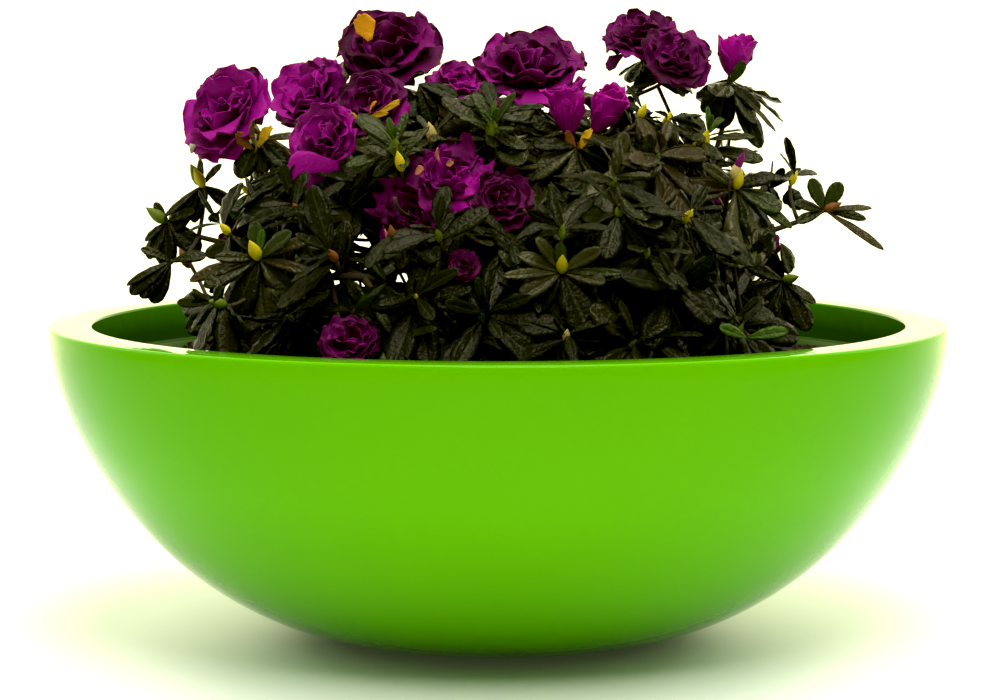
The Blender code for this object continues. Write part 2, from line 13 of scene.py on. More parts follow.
import bpy
import numpy as np
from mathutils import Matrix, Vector


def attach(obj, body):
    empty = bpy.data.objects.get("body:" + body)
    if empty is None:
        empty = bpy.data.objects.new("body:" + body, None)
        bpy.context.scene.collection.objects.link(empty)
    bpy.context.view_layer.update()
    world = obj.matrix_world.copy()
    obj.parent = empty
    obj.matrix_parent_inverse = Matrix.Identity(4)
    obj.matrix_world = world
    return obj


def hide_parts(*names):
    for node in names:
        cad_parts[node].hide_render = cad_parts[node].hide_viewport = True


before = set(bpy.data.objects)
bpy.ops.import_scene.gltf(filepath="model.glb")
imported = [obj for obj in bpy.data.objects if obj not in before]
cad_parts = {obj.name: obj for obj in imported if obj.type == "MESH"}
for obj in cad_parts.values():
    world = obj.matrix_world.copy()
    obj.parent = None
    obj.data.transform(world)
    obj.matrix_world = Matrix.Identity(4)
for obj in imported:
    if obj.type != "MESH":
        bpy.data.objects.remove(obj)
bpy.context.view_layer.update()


def clear_selection():
    """Leaves object mode with nothing selected, because an operator acts on all that is selected."""
    if bpy.context.mode != "OBJECT":
        bpy.ops.object.mode_set(mode="OBJECT")
    bpy.ops.object.select_all(action="DESELECT")


# %% [markdown]
# ## The camera
#
# A camera can be set by eye or worked out. Here the round rim tells it all: how wide its ellipse is gives the
# distance, and how flat it is gives the height. The bowl stands 2 m away from a long lens that looks down
# by five and a half degrees, so the rim is a narrow ellipse and the plant is seen almost from the side.

# %% The camera
CAMERA_DISTANCE = 2.0075
CAMERA_HEIGHT = 0.3688
CAMERA_DIP = math.radians(5.515)
SENSOR = 36.0
LENS = 117.8
CAMERA_SHIFT = 0.0015

clear_selection()
bpy.ops.object.camera_add(
    location=(0.0, -CAMERA_DISTANCE, CAMERA_HEIGHT), rotation=(math.pi / 2 - CAMERA_DIP, 0.0, 0.0)
)
camera = bpy.context.object
camera.name = "camera"
camera.data.sensor_width = SENSOR
camera.data.lens = LENS
camera.data.shift_x = CAMERA_SHIFT
camera.data.clip_end = 50.0
bpy.context.scene.camera = camera
print("camera at", tuple(round(value, 3) for value in camera.location), "lens", LENS)

# %% [markdown]
# ## Shader maths as plain Python
#
# A material could be wired node by node. Many nodes only add or multiply, though, and such wiring hides what
# it says. So one small class wraps a socket and gives it Python's operators, and another makes any other
# node from its type, its settings and the values or links of its sockets.


# %% A socket with operators, and a finish that makes nodes
class Wire:
    """A value in a shader that adds, subtracts, multiplies and divides as a number does."""

    def __init__(self, finish, socket):
        self.finish = finish
        self.socket = socket

    def maths(self, operation, first, second):
        return self.finish.node("ShaderNodeMath", {"operation": operation}, {0: first, 1: second})

    def __add__(self, other):
        return self.maths("ADD", self, other)

    def __sub__(self, other):
        return self.maths("SUBTRACT", self, other)

    def __rsub__(self, other):
        return self.maths("SUBTRACT", other, self)

    def __mul__(self, other):
        return self.maths("MULTIPLY", self, other)

    def __truediv__(self, other):
        return self.maths("DIVIDE", self, other)

    __radd__ = __add__
    __rmul__ = __mul__


class Finish:
    """A material with one Principled shader, whose plain values are given by the names of its sockets."""

    def __init__(self, name, **plain):
        self.material = bpy.data.materials.new(name)
        self.material.use_nodes = True
        self.tree = self.material.node_tree
        self.shader = self.tree.nodes["Principled BSDF"]
        sockets = {socket.name.lower().replace(" ", "_"): socket for socket in self.shader.inputs}
        for socket, value in plain.items():
            self.set(sockets[socket], value)

    def set(self, socket, value):
        if isinstance(value, Wire):
            self.tree.links.new(value.socket, socket)
        elif isinstance(value, tuple) and len(value) == 3 and socket.type == "RGBA":
            socket.default_value = (*value, 1.0)
        else:
            socket.default_value = value

    def node(self, kind, settings=None, sockets=None, out=0):
        """Makes a node: its settings first, then the values or links of its sockets."""
        made = self.tree.nodes.new(kind)
        for setting, value in (settings or {}).items():
            if setting == "stops":
                while len(made.color_ramp.elements) < len(value):
                    made.color_ramp.elements.new(1.0)
                for element, (place, colour) in zip(made.color_ramp.elements, value):
                    element.position = place
                    element.color = (*colour, 1.0) if isinstance(colour, tuple) else (colour,) * 3 + (1.0,)
            else:
                setattr(made, setting, value)
        for socket, value in (sockets or {}).items():
            self.set(made.inputs[socket], value)
        return Wire(self, made.outputs[out])

    def place(self, scale=(1.0, 1.0, 1.0)):
        """The point being shaded, in metres, stretched by a scale for each axis."""
        where = self.node("ShaderNodeTexCoord", out=3)
        return self.node("ShaderNodeMapping", sockets={"Vector": where, "Scale": scale})

    def distance(self, scale=(1.0, 1.0, 1.0)):
        """How far the point being shaded is from the middle, once each axis is stretched by a scale."""
        return self.node("ShaderNodeVectorMath", {"operation": "LENGTH"}, {0: self.place(scale)}, out=1)

    def noise(self, size, detail=3.0, rough=0.5, scale=(1.0, 1.0, 1.0)):
        """Cloudy variation from 0 to 1 whose blotches are about size metres wide."""
        sockets = {"Vector": self.place(scale), "Scale": 1.0 / size, "Detail": detail, "Roughness": rough}
        return self.node("ShaderNodeTexNoise", sockets=sockets)

    def ramp(self, value, *stops):
        """Colours or greys at places between 0 and 1, with even blends between them."""
        return self.node("ShaderNodeValToRGB", {"stops": stops}, {"Fac": value})

    def rise(self, value):
        """A value held between 0 and 1."""
        return self.ramp(value, (0.0, 0.0), (1.0, 1.0))

    def mix(self, share, first, second):
        """One colour, or the other, by a share from 0 to 1."""
        return self.node("ShaderNodeMix", {"data_type": "RGBA"}, {0: share, 6: first, 7: second}, out=2)

    def relief(self, height, depth):
        """Turns a height from 0 to 1 into a bump of that depth in metres."""
        bump = self.node("ShaderNodeBump", sockets={"Height": height, "Distance": depth, "Strength": 1.0})
        self.set(self.shader.inputs["Normal"], bump)

    def paint(self, socket, value):
        self.set(self.shader.inputs[socket], value)


# %% [markdown]
# ## Floor and light
#
# The plant stands on a pale floor in a bright room. A floor plane that ends would show its edge, so this one
# fades into the white surroundings. It also glows, as painted light standing in for light that reaches it
# from all sides, and the glow is weaker in an ellipse round the bowl, as a painted shadow. One soft lamp
# hangs overhead, one stands in front, and a weak one lights each side.
# The surroundings are darker in front than behind, which keeps the lacquer's colour deep, and a small black
# level in the view's curves lets the shade between the leaves go fully dark.

# %% Floor
FLOOR_SIZE = 8.0
FLOOR_COLOUR = (0.97, 0.95, 0.98)
FLOOR_GLOW = 0.24
GLOW_SHADED = (0.09, 0.09, 0.07)
# The painted shadow round the bowl, where the glow is weaker, is an ellipse, this much narrower from side to
# side than from front to back
GLOW_WIDE = (1.6, 1.0, 1.0)
GLOW_FROM = 0.19
GLOW_TO = 0.36
FADE_FROM = 0.75
FADE_TO = 1.55

clear_selection()
bpy.ops.mesh.primitive_plane_add(size=FLOOR_SIZE, location=(0.0, 0.0, 0.0))
floor = bpy.context.object
floor.name = "floor"
pale = Finish(
    "pale floor",
    base_color=FLOOR_COLOUR,
    roughness=0.45,
    specular_ior_level=0.25,
    emission_strength=FLOOR_GLOW,
)
# Painted light: the floor's emitted glow, weaker in an ellipse round the bowl as a painted shadow
lit = pale.rise((pale.distance(GLOW_WIDE) - GLOW_FROM) / (GLOW_TO - GLOW_FROM))
pale.paint("Emission Color", pale.mix(lit, GLOW_SHADED, FLOOR_COLOUR))
fade = pale.rise((pale.distance() - FADE_FROM) / (FADE_TO - FADE_FROM))
solid = Wire(pale, pale.shader.outputs[0])
clear = pale.node("ShaderNodeBsdfTransparent")
faded = pale.node("ShaderNodeMixShader", sockets={0: fade, 1: solid, 2: clear})
pale.set(pale.tree.nodes["Material Output"].inputs["Surface"], faded)
floor.data.materials.append(pale.material)

# %% Surroundings and lamps
SKY_WHITE = (1.0, 0.97, 0.58)
LAMP_WHITE = (1.0, 0.985, 0.90)
SKY_BACK = 2.15
SKY_FRONT = 0.19
SKY_TOP = 0.60
SKY_SEEN = 1.80
SKY_FROM = -0.05
SKY_TO = 0.95
TOP_FROM = 0.15
BLACK_LEVEL = (0.0020, 0.0020, 0.0050)
LAMPS = (
    # name, place, width, watts
    ("lamp_over", (0.1, -0.3, 1.9), 1.3, 25.0),
    ("lamp_front", (0.2, -1.7, 2.3), 1.2, 32.0),
    ("lamp_right", (1.7, 0.5, 0.9), 1.1, 7.0),
    ("lamp_left", (-1.7, 0.2, 1.0), 1.1, 6.0),
)
LAMP_AIM = Vector((0.0, 0.0, 0.22))

world = bpy.data.worlds.new("studio")
bpy.context.scene.world = world
world.use_nodes = True
sky = world.node_tree
background = sky.nodes["Background"]
way = sky.nodes.new("ShaderNodeTexCoord")
split = sky.nodes.new("ShaderNodeSeparateXYZ")
sky.links.new(way.outputs["Generated"], split.inputs[0])
slope = sky.nodes.new("ShaderNodeMapRange")
slope.interpolation_type = "SMOOTHSTEP"
slope.inputs["From Min"].default_value = SKY_FROM
slope.inputs["From Max"].default_value = SKY_TO
slope.inputs["To Min"].default_value = SKY_FRONT
slope.inputs["To Max"].default_value = SKY_BACK
sky.links.new(split.outputs["Y"], slope.inputs["Value"])
shade = sky.nodes.new("ShaderNodeMapRange")
shade.inputs["From Min"].default_value = TOP_FROM
shade.inputs["To Min"].default_value = 1.0
shade.inputs["To Max"].default_value = SKY_TOP
sky.links.new(split.outputs["Z"], shade.inputs["Value"])
light = sky.nodes.new("ShaderNodeMath")
light.operation = "MULTIPLY"
sky.links.new(slope.outputs[0], light.inputs[0])
sky.links.new(shade.outputs[0], light.inputs[1])
seen = sky.nodes.new("ShaderNodeLightPath")
choice = sky.nodes.new("ShaderNodeMix")
sky.links.new(seen.outputs["Is Camera Ray"], choice.inputs[0])
sky.links.new(light.outputs[0], choice.inputs[2])
choice.inputs[3].default_value = SKY_SEEN
sky.links.new(choice.outputs[0], background.inputs["Strength"])
background.inputs["Color"].default_value = (*SKY_WHITE, 1.0)

for name, place, width, watts in LAMPS:
    bpy.ops.object.light_add(type="AREA", location=place)
    lamp = bpy.context.object
    lamp.name = name
    lamp.data.shape = "DISK"
    lamp.data.size = width
    lamp.data.energy = watts
    lamp.data.color = LAMP_WHITE
    lamp.rotation_euler = (LAMP_AIM - Vector(place)).to_track_quat("-Z", "Y").to_euler()
view = bpy.context.scene.view_settings
view.view_transform = "Standard"
view.use_curve_mapping = True
view.curve_mapping.black_level = BLACK_LEVEL
view.curve_mapping.update()
print("lamps:", len(LAMPS))

# %% [markdown]
# ## The bowl
#
# On the real planter the bowl is laid up in a mould: a round-bottomed shell, a broad flat rim, an upright lip
# inside it and a narrow ledge. A lathe makes such a form best. So a single point is extruded along the
# bowl's outline, and the line is spun round the middle. The sides follow a superellipse, whose two powers say
# how full the shoulder and the foot are.

# %% Turning
CLEARANCE = 0.0003
SAME_POINT = 0.00002


def superellipse(foot, rim, low, high, powers, rings):
    """Points up the side of a bowl, from its flat foot to its rim."""
    points = []
    for ring in range(rings + 1):
        turn = math.pi / 2 * ring / rings
        radius = foot + (rim - foot) * math.sin(turn) ** (2 / powers[0])
        points.append((radius, low + (high - low) * (1 - math.cos(turn) ** (2 / powers[1]))))
    return points


def rounded(corner, before, after, radius, steps=5):
    """A corner of an outline, rounded between the points before and after it."""
    corner, before, after = Vector(corner), Vector(before), Vector(after)
    start = corner + (before - corner).normalized() * radius
    end = corner + (after - corner).normalized() * radius
    made = []
    for step in range(steps + 1):
        t = step / steps
        point = start * (1 - t) ** 2 + corner * (2 * t * (1 - t)) + end * t ** 2
        made.append(tuple(point))
    return made


def turned(name, profile, steps):
    """Extrudes one point along a profile of (radius, height) and spins the line into a closed form."""
    clear_selection()
    bpy.ops.mesh.primitive_plane_add(size=0.01, location=(profile[0][0], 0.0, profile[0][1]))
    obj = bpy.context.object
    obj.name = name
    obj.data.name = name
    bpy.ops.object.transform_apply(location=True, rotation=True, scale=True)
    bpy.ops.object.mode_set(mode="EDIT")
    bpy.ops.mesh.merge(type="CENTER")
    for (radius, height), (next_radius, next_height) in zip(profile, profile[1:]):
        step = (next_radius - radius, 0.0, next_height - height)
        bpy.ops.mesh.extrude_region_move(TRANSFORM_OT_translate={"value": step})
    bpy.ops.mesh.select_all(action="SELECT")
    bpy.ops.mesh.spin(steps=steps, angle=math.tau, center=(0.0, 0.0, 0.0), axis=(0.0, 0.0, 1.0))
    bpy.ops.mesh.select_all(action="SELECT")
    bpy.ops.mesh.remove_doubles(threshold=SAME_POINT)
    bpy.ops.mesh.normals_make_consistent(inside=False)
    bpy.ops.object.mode_set(mode="OBJECT")
    print(name, "faces:", len(obj.data.polygons))
    return obj


# %% Bowl outline
RIM_RADIUS = 0.275
BOWL_HEIGHT = 0.193
FOOT_RADIUS = 0.080
BOWL_POWERS = (1.87, 1.66)
RIM_WIDTH = 0.0265
RIM_EDGE = 0.0022
LIP_EDGE = 0.0016
LEDGE_EDGE = 0.0012
LIP_DEPTH = 0.024
LEDGE_WIDTH = 0.007
BOWL_FLOOR = 0.010
INNER_FOOT = 0.070
LIP_RADIUS = RIM_RADIUS - RIM_WIDTH
LEDGE_RADIUS = LIP_RADIUS - LEDGE_WIDTH
BOWL_STEPS = 192
OUTER_RINGS = 40
INNER_RINGS = 14

outer = superellipse(FOOT_RADIUS, RIM_RADIUS, 0.0, BOWL_HEIGHT - RIM_EDGE, BOWL_POWERS, OUTER_RINGS)
rim_corner = (RIM_RADIUS, BOWL_HEIGHT)
lip_top = (LIP_RADIUS, BOWL_HEIGHT)
lip_foot = (LIP_RADIUS, BOWL_HEIGHT - LIP_DEPTH)
inner = superellipse(INNER_FOOT, LEDGE_RADIUS, BOWL_FLOOR, lip_foot[1], BOWL_POWERS, INNER_RINGS)[::-1]
bowl_profile = [
    (0.0, 0.0),
    *outer[:-1],
    *rounded(rim_corner, outer[-1], lip_top, RIM_EDGE),
    *rounded(lip_top, rim_corner, lip_foot, LIP_EDGE, 4),
    *rounded(lip_foot, lip_top, inner[0], LEDGE_EDGE, 3),
    *inner,
    (0.0, BOWL_FLOOR),
]
bowl = turned("planter_bowl_shell", bowl_profile, BOWL_STEPS)
bowl.data.shade_smooth()

# %% [markdown]
# Lacquer is a deep colour under a clear, hard coat. One gloss value looks like plastic from a toy box. Real
# lacquer ripples very faintly, like the skin of an orange, and where hands and cloths have been it is a
# little duller. So it gets a fine bump and a cloudy change in roughness. Its colour is painted darker low on
# the side, as painted shade. Inside the lip it is painted dark green, darkest and ragged near the mix, also
# as painted shade.

# %% Lacquer
LIME = (0.140, 0.540, 0.0004)
LIME_DEEP = (0.122, 0.495, 0.0003)
# Painted shade: the colour is darkened low on the side, from the foot up to the height below
LIME_FOOT_SHADE = (0.086, 0.340, 0.0003)
FOOT_SHADE_RISE = 0.110
# Painted shade inside the lip: a darker green over the inner wall, darkest near the mix, its edge ragged by a
# noise
LIME_DEEPEST_SHADE = (0.022, 0.080, 0.002)
LIME_INNER_SHADE = (0.060, 0.250, 0.003)
INNER_SHADE_EDGE = 0.0012
INNER_SHADE_REACH = 0.022
# The ripple of the lacquer: how wide and how deep
ORANGE_PEEL = 0.0035
ORANGE_PEEL_DEPTH = 0.00003

lacquer = Finish("lime lacquer", coat_weight=1.0, coat_ior=1.15, coat_roughness=0.03, specular_ior_level=0.01)
height = lacquer.node("ShaderNodeSeparateXYZ", sockets={0: lacquer.place()}, out=2)
from_axis = lacquer.distance((1.0, 1.0, 0.0))
# Painted shade inside the lip, from the rim's inner edge down to the mix
inward = lacquer.rise((LIP_RADIUS + INNER_SHADE_EDGE - from_axis) / INNER_SHADE_EDGE)
upward = lacquer.rise((height - (lip_foot[1] - INNER_SHADE_REACH)) / LIP_EDGE)
shade_ragging = lacquer.noise(0.010, 4.0, 0.6) * 0.4 + 0.8
inner_shade_ramp = lacquer.ramp((height - lip_foot[1]) / LIP_DEPTH * shade_ragging, (0.30, 0.0), (0.95, 1.0))
outside = lacquer.mix(lacquer.noise(0.12, 2.0), LIME, LIME_DEEP)
# Painted shade low on the side: darker towards the foot
outside = lacquer.mix(lacquer.rise(height / FOOT_SHADE_RISE), LIME_FOOT_SHADE, outside)
inner_shade = lacquer.mix(inner_shade_ramp, LIME_DEEPEST_SHADE, LIME_INNER_SHADE)
lacquer.paint("Base Color", lacquer.mix(inward * upward, outside, inner_shade))
smudge = lacquer.ramp(lacquer.noise(0.05, 4.0, 0.6), (0.35, 0.16), (0.75, 0.26))
lacquer.paint("Roughness", smudge)
lacquer.relief(lacquer.noise(ORANGE_PEEL, 1.0), ORANGE_PEEL_DEPTH)
bowl.data.materials.append(lacquer.material)
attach(bowl, "root")
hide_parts("planter_bowl")

# %% [markdown]
# ## The potting mix
#
# Peat-based mix is dark, fibrous and crumbly, with bits of bark. A bump alone leaves its edge against the
# bowl too clean, so the top is a turned form moved up and down by two noises, and crumbs and bark chips lie
# on it. One crumb and one chip are shaped first, and the rest are copies, each turned and sized at random.

# %% Mix
MIX_EDGE = 0.1655
MIX_TOP = 0.1715
MIX_SHOULDER = (0.150, 0.1695)
MIX_RINGS = 64
MIX_STEPS = 220
MIX_INSET = 0.0004
# The part of the mix that the bowl hides: radius and height of its two lower edges
MIX_FOOT = (0.190, 0.120)
MIX_LOW_EDGE = 0.150
MIX_LOW_INSET = 0.006
# Only the top away from the stem is uneven
LOOSE_LEVEL = 0.16
LOOSE_FROM = 0.016
# The two noises that move it: size and strength
HOLLOWS = (0.030, 0.0030)
CLODS = (0.006, 0.0026)
FLARE_RADIUS = 0.0185


def mix_height(radius):
    """The level of the mix at a distance from the middle."""
    knots = ((0.0, MIX_TOP), (FLARE_RADIUS * 2, MIX_TOP), MIX_SHOULDER, (LEDGE_RADIUS, MIX_EDGE))
    return float(np.interp(radius, [knot[0] for knot in knots], [knot[1] for knot in knots]))


def clouds(name, size, depth=2):
    """A noise for the Displace modifier."""
    made = bpy.data.textures.new(name, "CLOUDS")
    made.noise_scale = size
    made.noise_depth = depth
    return made


def apply_all(obj):
    """Applies an object's modifiers, in their order."""
    clear_selection()
    bpy.context.view_layer.objects.active = obj
    obj.select_set(True)
    for modifier in list(obj.modifiers):
        bpy.ops.object.modifier_apply(modifier=modifier.name)


def displace(obj, texture, strength, group=""):
    """Moves a surface in and out along its normals by a noise in the object's own space."""
    made = obj.modifiers.new(texture.name, "DISPLACE")
    made.texture = texture
    made.texture_coords = "LOCAL"
    made.strength = strength
    made.mid_level = 0.5
    made.vertex_group = group
    return made


mix_radius = LEDGE_RADIUS - CLEARANCE - MIX_INSET
mix_profile = [(0.0, MIX_FOOT[1]), MIX_FOOT, (mix_radius - MIX_LOW_INSET, MIX_LOW_EDGE)]
for ring in range(MIX_RINGS, 0, -1):
    reach = mix_radius * ring / MIX_RINGS
    mix_profile.append((reach, mix_height(reach)))
mix_profile.append((0.0, MIX_TOP))
mix = turned("potting_mix_top", mix_profile, MIX_STEPS)
mix.data.shade_smooth()
group = mix.vertex_groups.new(name="loose")
for vertex in mix.data.vertices:
    if vertex.co.z > LOOSE_LEVEL and vertex.co.xy.length > LOOSE_FROM:
        group.add([vertex.index], 1.0, "REPLACE")
displace(mix, clouds("hollows", HOLLOWS[0]), HOLLOWS[1], "loose")
displace(mix, clouds("clods", CLODS[0]), CLODS[1], "loose")
apply_all(mix)

# %% Mix finish
PEAT_TONES = ((0.30, (0.010, 0.006, 0.004)), (0.55, (0.034, 0.021, 0.013)), (0.80, (0.085, 0.055, 0.034)))
PEAT_DAMP = (0.012, 0.008, 0.006)
PEAT_GRAIN = 0.0022
PEAT_GRAIN_DEPTH = 0.0012

peat = Finish("potting mix", specular_ior_level=0.2)
fibre = peat.noise(PEAT_GRAIN, 6.0, 0.7)
peat_colour = peat.ramp(fibre, *PEAT_TONES)
damp = peat.ramp(peat.noise(0.045, 3.0), (0.40, 0.0), (0.65, 1.0))
peat.paint("Base Color", peat.mix(damp * 0.5, peat_colour, PEAT_DAMP))
peat.paint("Roughness", 1.0 - damp * 0.2)
peat.relief(fibre, PEAT_GRAIN_DEPTH)
mix.data.materials.append(peat.material)
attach(mix, "root")
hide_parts("potting_mix")


# %% A heap of copies
class Heap:
    """Copies of small shapes, gathered until they become one mesh with one finish for each shade."""

    def __init__(self):
        self.points = []
        self.faces = []
        self.shades = []
        self.count = 0

    def add(self, points, faces, shade=0):
        self.points.append(points)
        self.faces.append(faces + self.count)
        self.shades.append(np.full(len(faces), shade, dtype=np.int32))
        self.count += len(points)

    def make(self, name, finishes, replaced, slot):
        """Makes the mesh, hangs it on the root's body, and hides the solids it stands for."""
        faces = np.concatenate(self.faces).astype(np.int32)
        mesh = bpy.data.meshes.new(name)
        mesh.vertices.add(self.count)
        mesh.vertices.foreach_set("co", np.concatenate(self.points).astype(np.float32).ravel())
        mesh.loops.add(faces.size)
        mesh.loops.foreach_set("vertex_index", faces.ravel())
        mesh.polygons.add(len(faces))
        mesh.polygons.foreach_set("loop_start", np.arange(0, faces.size, 3, dtype=np.int32))
        for finish in finishes:
            mesh.materials.append(finish.material)
        mesh.polygons.foreach_set("material_index", np.concatenate(self.shades))
        mesh.update(calc_edges=True)
        mesh.validate()
        mesh.shade_smooth()
        obj = bpy.data.objects.new(name, mesh)
        bpy.context.scene.collection.objects.link(obj)
        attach(obj, "root")
        if replaced:
            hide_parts(*replaced)
        print(name, "triangles:", len(faces))
        return obj


def shape_of(obj):
    """The points and triangles of an object, which is then removed."""
    obj.data.calc_loop_triangles()
    points = np.array([vertex.co[:] for vertex in obj.data.vertices])
    faces = np.array([triangle.vertices[:] for triangle in obj.data.loop_triangles])
    bpy.data.objects.remove(obj)
    return points, faces


def spun(rng):
    """A random turn, as a 3 by 3 matrix."""
    axis = Vector((rng.gauss(0, 1), rng.gauss(0, 1), rng.gauss(0, 1))).normalized()
    quaternion = axis.to_track_quat("Z", "Y")
    return np.array(quaternion.to_matrix())


# %% Crumbs and chips
CRUMBS = 2600
CHIPS = 170
CRUMB_SIZE = (0.0006, 0.0021)
CHIP_SIZE = (0.0018, 0.0050)
CHIP_FORM = (1.0, 0.45, 0.22)
CRUMB_UNEVENNESS = 0.35
CHIP_UNEVENNESS = 0.22
# Small ones are far more common than large ones, and the middle of each lies a little above the mix
SIZE_POWER = 2.2
MIDDLE_RISE = 0.25
CRUMB_INSET = 0.003
CRUMB_TONES = ((0.3, (0.012, 0.008, 0.005)), (0.7, (0.06, 0.038, 0.024)))
CHIP_TONES = ((0.3, (0.045, 0.022, 0.012)), (0.7, (0.17, 0.095, 0.05)))

clear_selection()
bpy.ops.mesh.primitive_ico_sphere_add(subdivisions=1, radius=1.0)
crumb = bpy.context.object
bpy.ops.object.mode_set(mode="EDIT")
bpy.ops.transform.vertex_random(offset=CRUMB_UNEVENNESS, seed=3)
bpy.ops.object.mode_set(mode="OBJECT")
crumb_shape = shape_of(crumb)
bpy.ops.mesh.primitive_cube_add(size=2.0)
chip = bpy.context.object
bpy.ops.object.mode_set(mode="EDIT")
bpy.ops.mesh.subdivide(number_cuts=1)
bpy.ops.transform.resize(value=CHIP_FORM)
bpy.ops.transform.vertex_random(offset=CHIP_UNEVENNESS, seed=5)
bpy.ops.object.mode_set(mode="OBJECT")
chip_shape = shape_of(chip)

crumb_heap = Heap()
crumb_random = random.Random(41)
for number in range(CRUMBS + CHIPS):
    is_chip = number >= CRUMBS
    points, faces = chip_shape if is_chip else crumb_shape
    low, high = CHIP_SIZE if is_chip else CRUMB_SIZE
    size = low + (high - low) * crumb_random.random() ** SIZE_POWER
    reach = (mix_radius - CRUMB_INSET) * math.sqrt(crumb_random.uniform(0.02, 1.0))
    turn = crumb_random.uniform(0.0, math.tau)
    level = mix_height(reach) + size * MIDDLE_RISE
    centre = np.array((reach * math.cos(turn), reach * math.sin(turn), level))
    crumb_heap.add(points @ spun(crumb_random).T * size + centre, faces, int(is_chip))

crumb_finish = Finish("peat crumbs", roughness=0.95, specular_ior_level=0.2)
crumb_finish.paint("Base Color", crumb_finish.ramp(crumb_finish.noise(0.004, 2.0), *CRUMB_TONES))
crumb_finish.relief(crumb_finish.noise(0.0006, 4.0), 0.0002)
chip_finish = Finish("bark chips", roughness=0.8, specular_ior_level=0.3)
chip_finish.paint("Base Color", chip_finish.ramp(chip_finish.noise(0.003, 4.0, 0.6), *CHIP_TONES))
chip_finish.relief(chip_finish.noise(0.0008, 4.0), 0.0004)
crumb_heap.make("potting_mix_crumbs", [crumb_finish, chip_finish], ["potting_mix"], "potting_mix")

# %% [markdown]
# ## The rule of growth
#
# An azalea branches from a short stem into a bough for each part of its crown, and every twig ends in a bud
# with a whorl of leaves, or in a flower. Copying one leafy branch many times would show. Here each twig grows
# from the nearest point of its own mass that suits it, towards an end that is given by name, for the flowers
# and whorls that stand out, or by an even spiral over the crown's surface. The same rule, with the same
# seeds, made the solids. Each mass keeps to the space nearest to its own centres.

# %% Measures of stem, crown and twigs
STEM_HEIGHT = 0.050
STEM_RADIUS = 0.0100
FLARE_HEIGHT = 0.014
STEM_LEAN = Vector((-0.006, 0.004, 0.0))
BOUGH_BASE = 0.0046
BOUGH_TIP = 0.0030
BOUGH_RINGS = 5
FORK_SPREAD = 0.0055
BOUGH_DIP = -0.10
FORK_ARCH = 0.16
HUB_SHORTFALL = 0.12
SHORTEST_BOUGH = 0.35
BOUGH_STEP = 0.05

CROWN_CENTRE = Vector((0.000, 0.004, 0.200))
CROWN_REACH = Vector((0.184, 0.168, 0.112))
CROWN_POWER = 2.4
OUTER_SHOOTS = 100
INNER_SHOOTS = 24
INNER_SHARE = 0.74
SHOOT_SPACING = 0.034
SKIRT_RISE = -0.10
TOP_RISE = 0.96
SKIRT_CROWDING = 1.35
GOLDEN_TURN = math.pi * (3.0 - math.sqrt(5.0))

TWIG_BASE = 0.0022
TWIG_TIP = 0.0012
TWIG_THINNING = 0.84
TWIG_RINGS = 2
TWIG_TRIES = 3
TURN_COST = 0.6
TWIG_ARCH = 0.35
TWIG_RUN = 0.10
BUD_RADIUS = 0.0040
LEAF_LENGTH = 0.046
LEAF_SPREAD = (0.86, 1.08)
WHORL_LEAVES = 5
BLOOM_LEAVES = (0.0, -38.0)
NAMED_LEAVES = (15.0, -22.0)
SHOOT_LEAVES = (18.0, -20.0)
SHOOT_RISE = 0.7
BLOOM_ROOM = 0.6
BLOOM_FOOT = 0.40
SPACE_MARGIN = 0.0008
LIMB_MARGIN = 0.0010
BOWL_MARGIN = 0.0030
SAMPLE_STEP = 0.004

# %% Named places of the crown
# Hub of each mass: its place, the level at which its bough leaves the stem, and its seed
HUBS = {
    "left": (Vector((-0.148, 0.000, 0.238)), 0.024, 2),
    "front_left": (Vector((-0.098, -0.108, 0.228)), 0.038, 4),
    "front": (Vector((-0.022, -0.118, 0.236)), 0.024, 2),
    "front_right": (Vector((0.078, -0.112, 0.232)), 0.038, 4),
    "right": (Vector((0.156, -0.012, 0.246)), 0.024, 4),
    "back_right": (Vector((0.112, 0.104, 0.236)), 0.038, 4),
    "back": (Vector((0.004, 0.128, 0.236)), 0.024, 3),
    "back_left": (Vector((-0.106, 0.102, 0.234)), 0.038, 4),
    "top_left": (Vector((-0.066, 0.006, 0.298)), STEM_HEIGHT, 1),
    "top_right": (Vector((0.062, 0.000, 0.302)), STEM_HEIGHT, 2),
}

# Flowers at the front and the top: mass, form, centre, width, heading and lift in degrees
BLOOMS = (
    ("left", "open", (-0.166, -0.020, 0.322), 0.060, 205, 30),
    ("top_left", "open", (-0.119, 0.030, 0.332), 0.050, 230, 35),
    ("top_left", "open", (-0.066, 0.004, 0.362), 0.066, 265, 55),
    ("top_left", "open", (-0.078, -0.040, 0.328), 0.046, 240, 35),
    ("top_left", "open", (-0.102, -0.072, 0.308), 0.044, 245, 10),
    ("top_left", "faded", (-0.024, 0.040, 0.338), 0.034, 290, 55),
    ("top_right", "open", (0.020, -0.008, 0.350), 0.060, 265, 60),
    ("top_right", "half", (0.041, -0.062, 0.325), 0.027, 250, 72),
    ("top_right", "half", (0.064, -0.056, 0.324), 0.026, 320, 66),
    ("top_right", "open", (0.086, 0.012, 0.369), 0.044, 250, 60),
    ("top_right", "open", (0.108, -0.014, 0.355), 0.042, 290, 40),
    ("right", "half", (0.145, 0.010, 0.354), 0.030, 340, 75),
    ("front", "faded", (-0.027, -0.104, 0.288), 0.040, 275, 40),
    ("front", "faded", (-0.052, -0.106, 0.266), 0.038, 240, 15),
    ("front", "open", (0.002, -0.114, 0.274), 0.038, 280, 30),
    ("front_left", "open", (-0.085, -0.158, 0.196), 0.042, 260, 50),
)

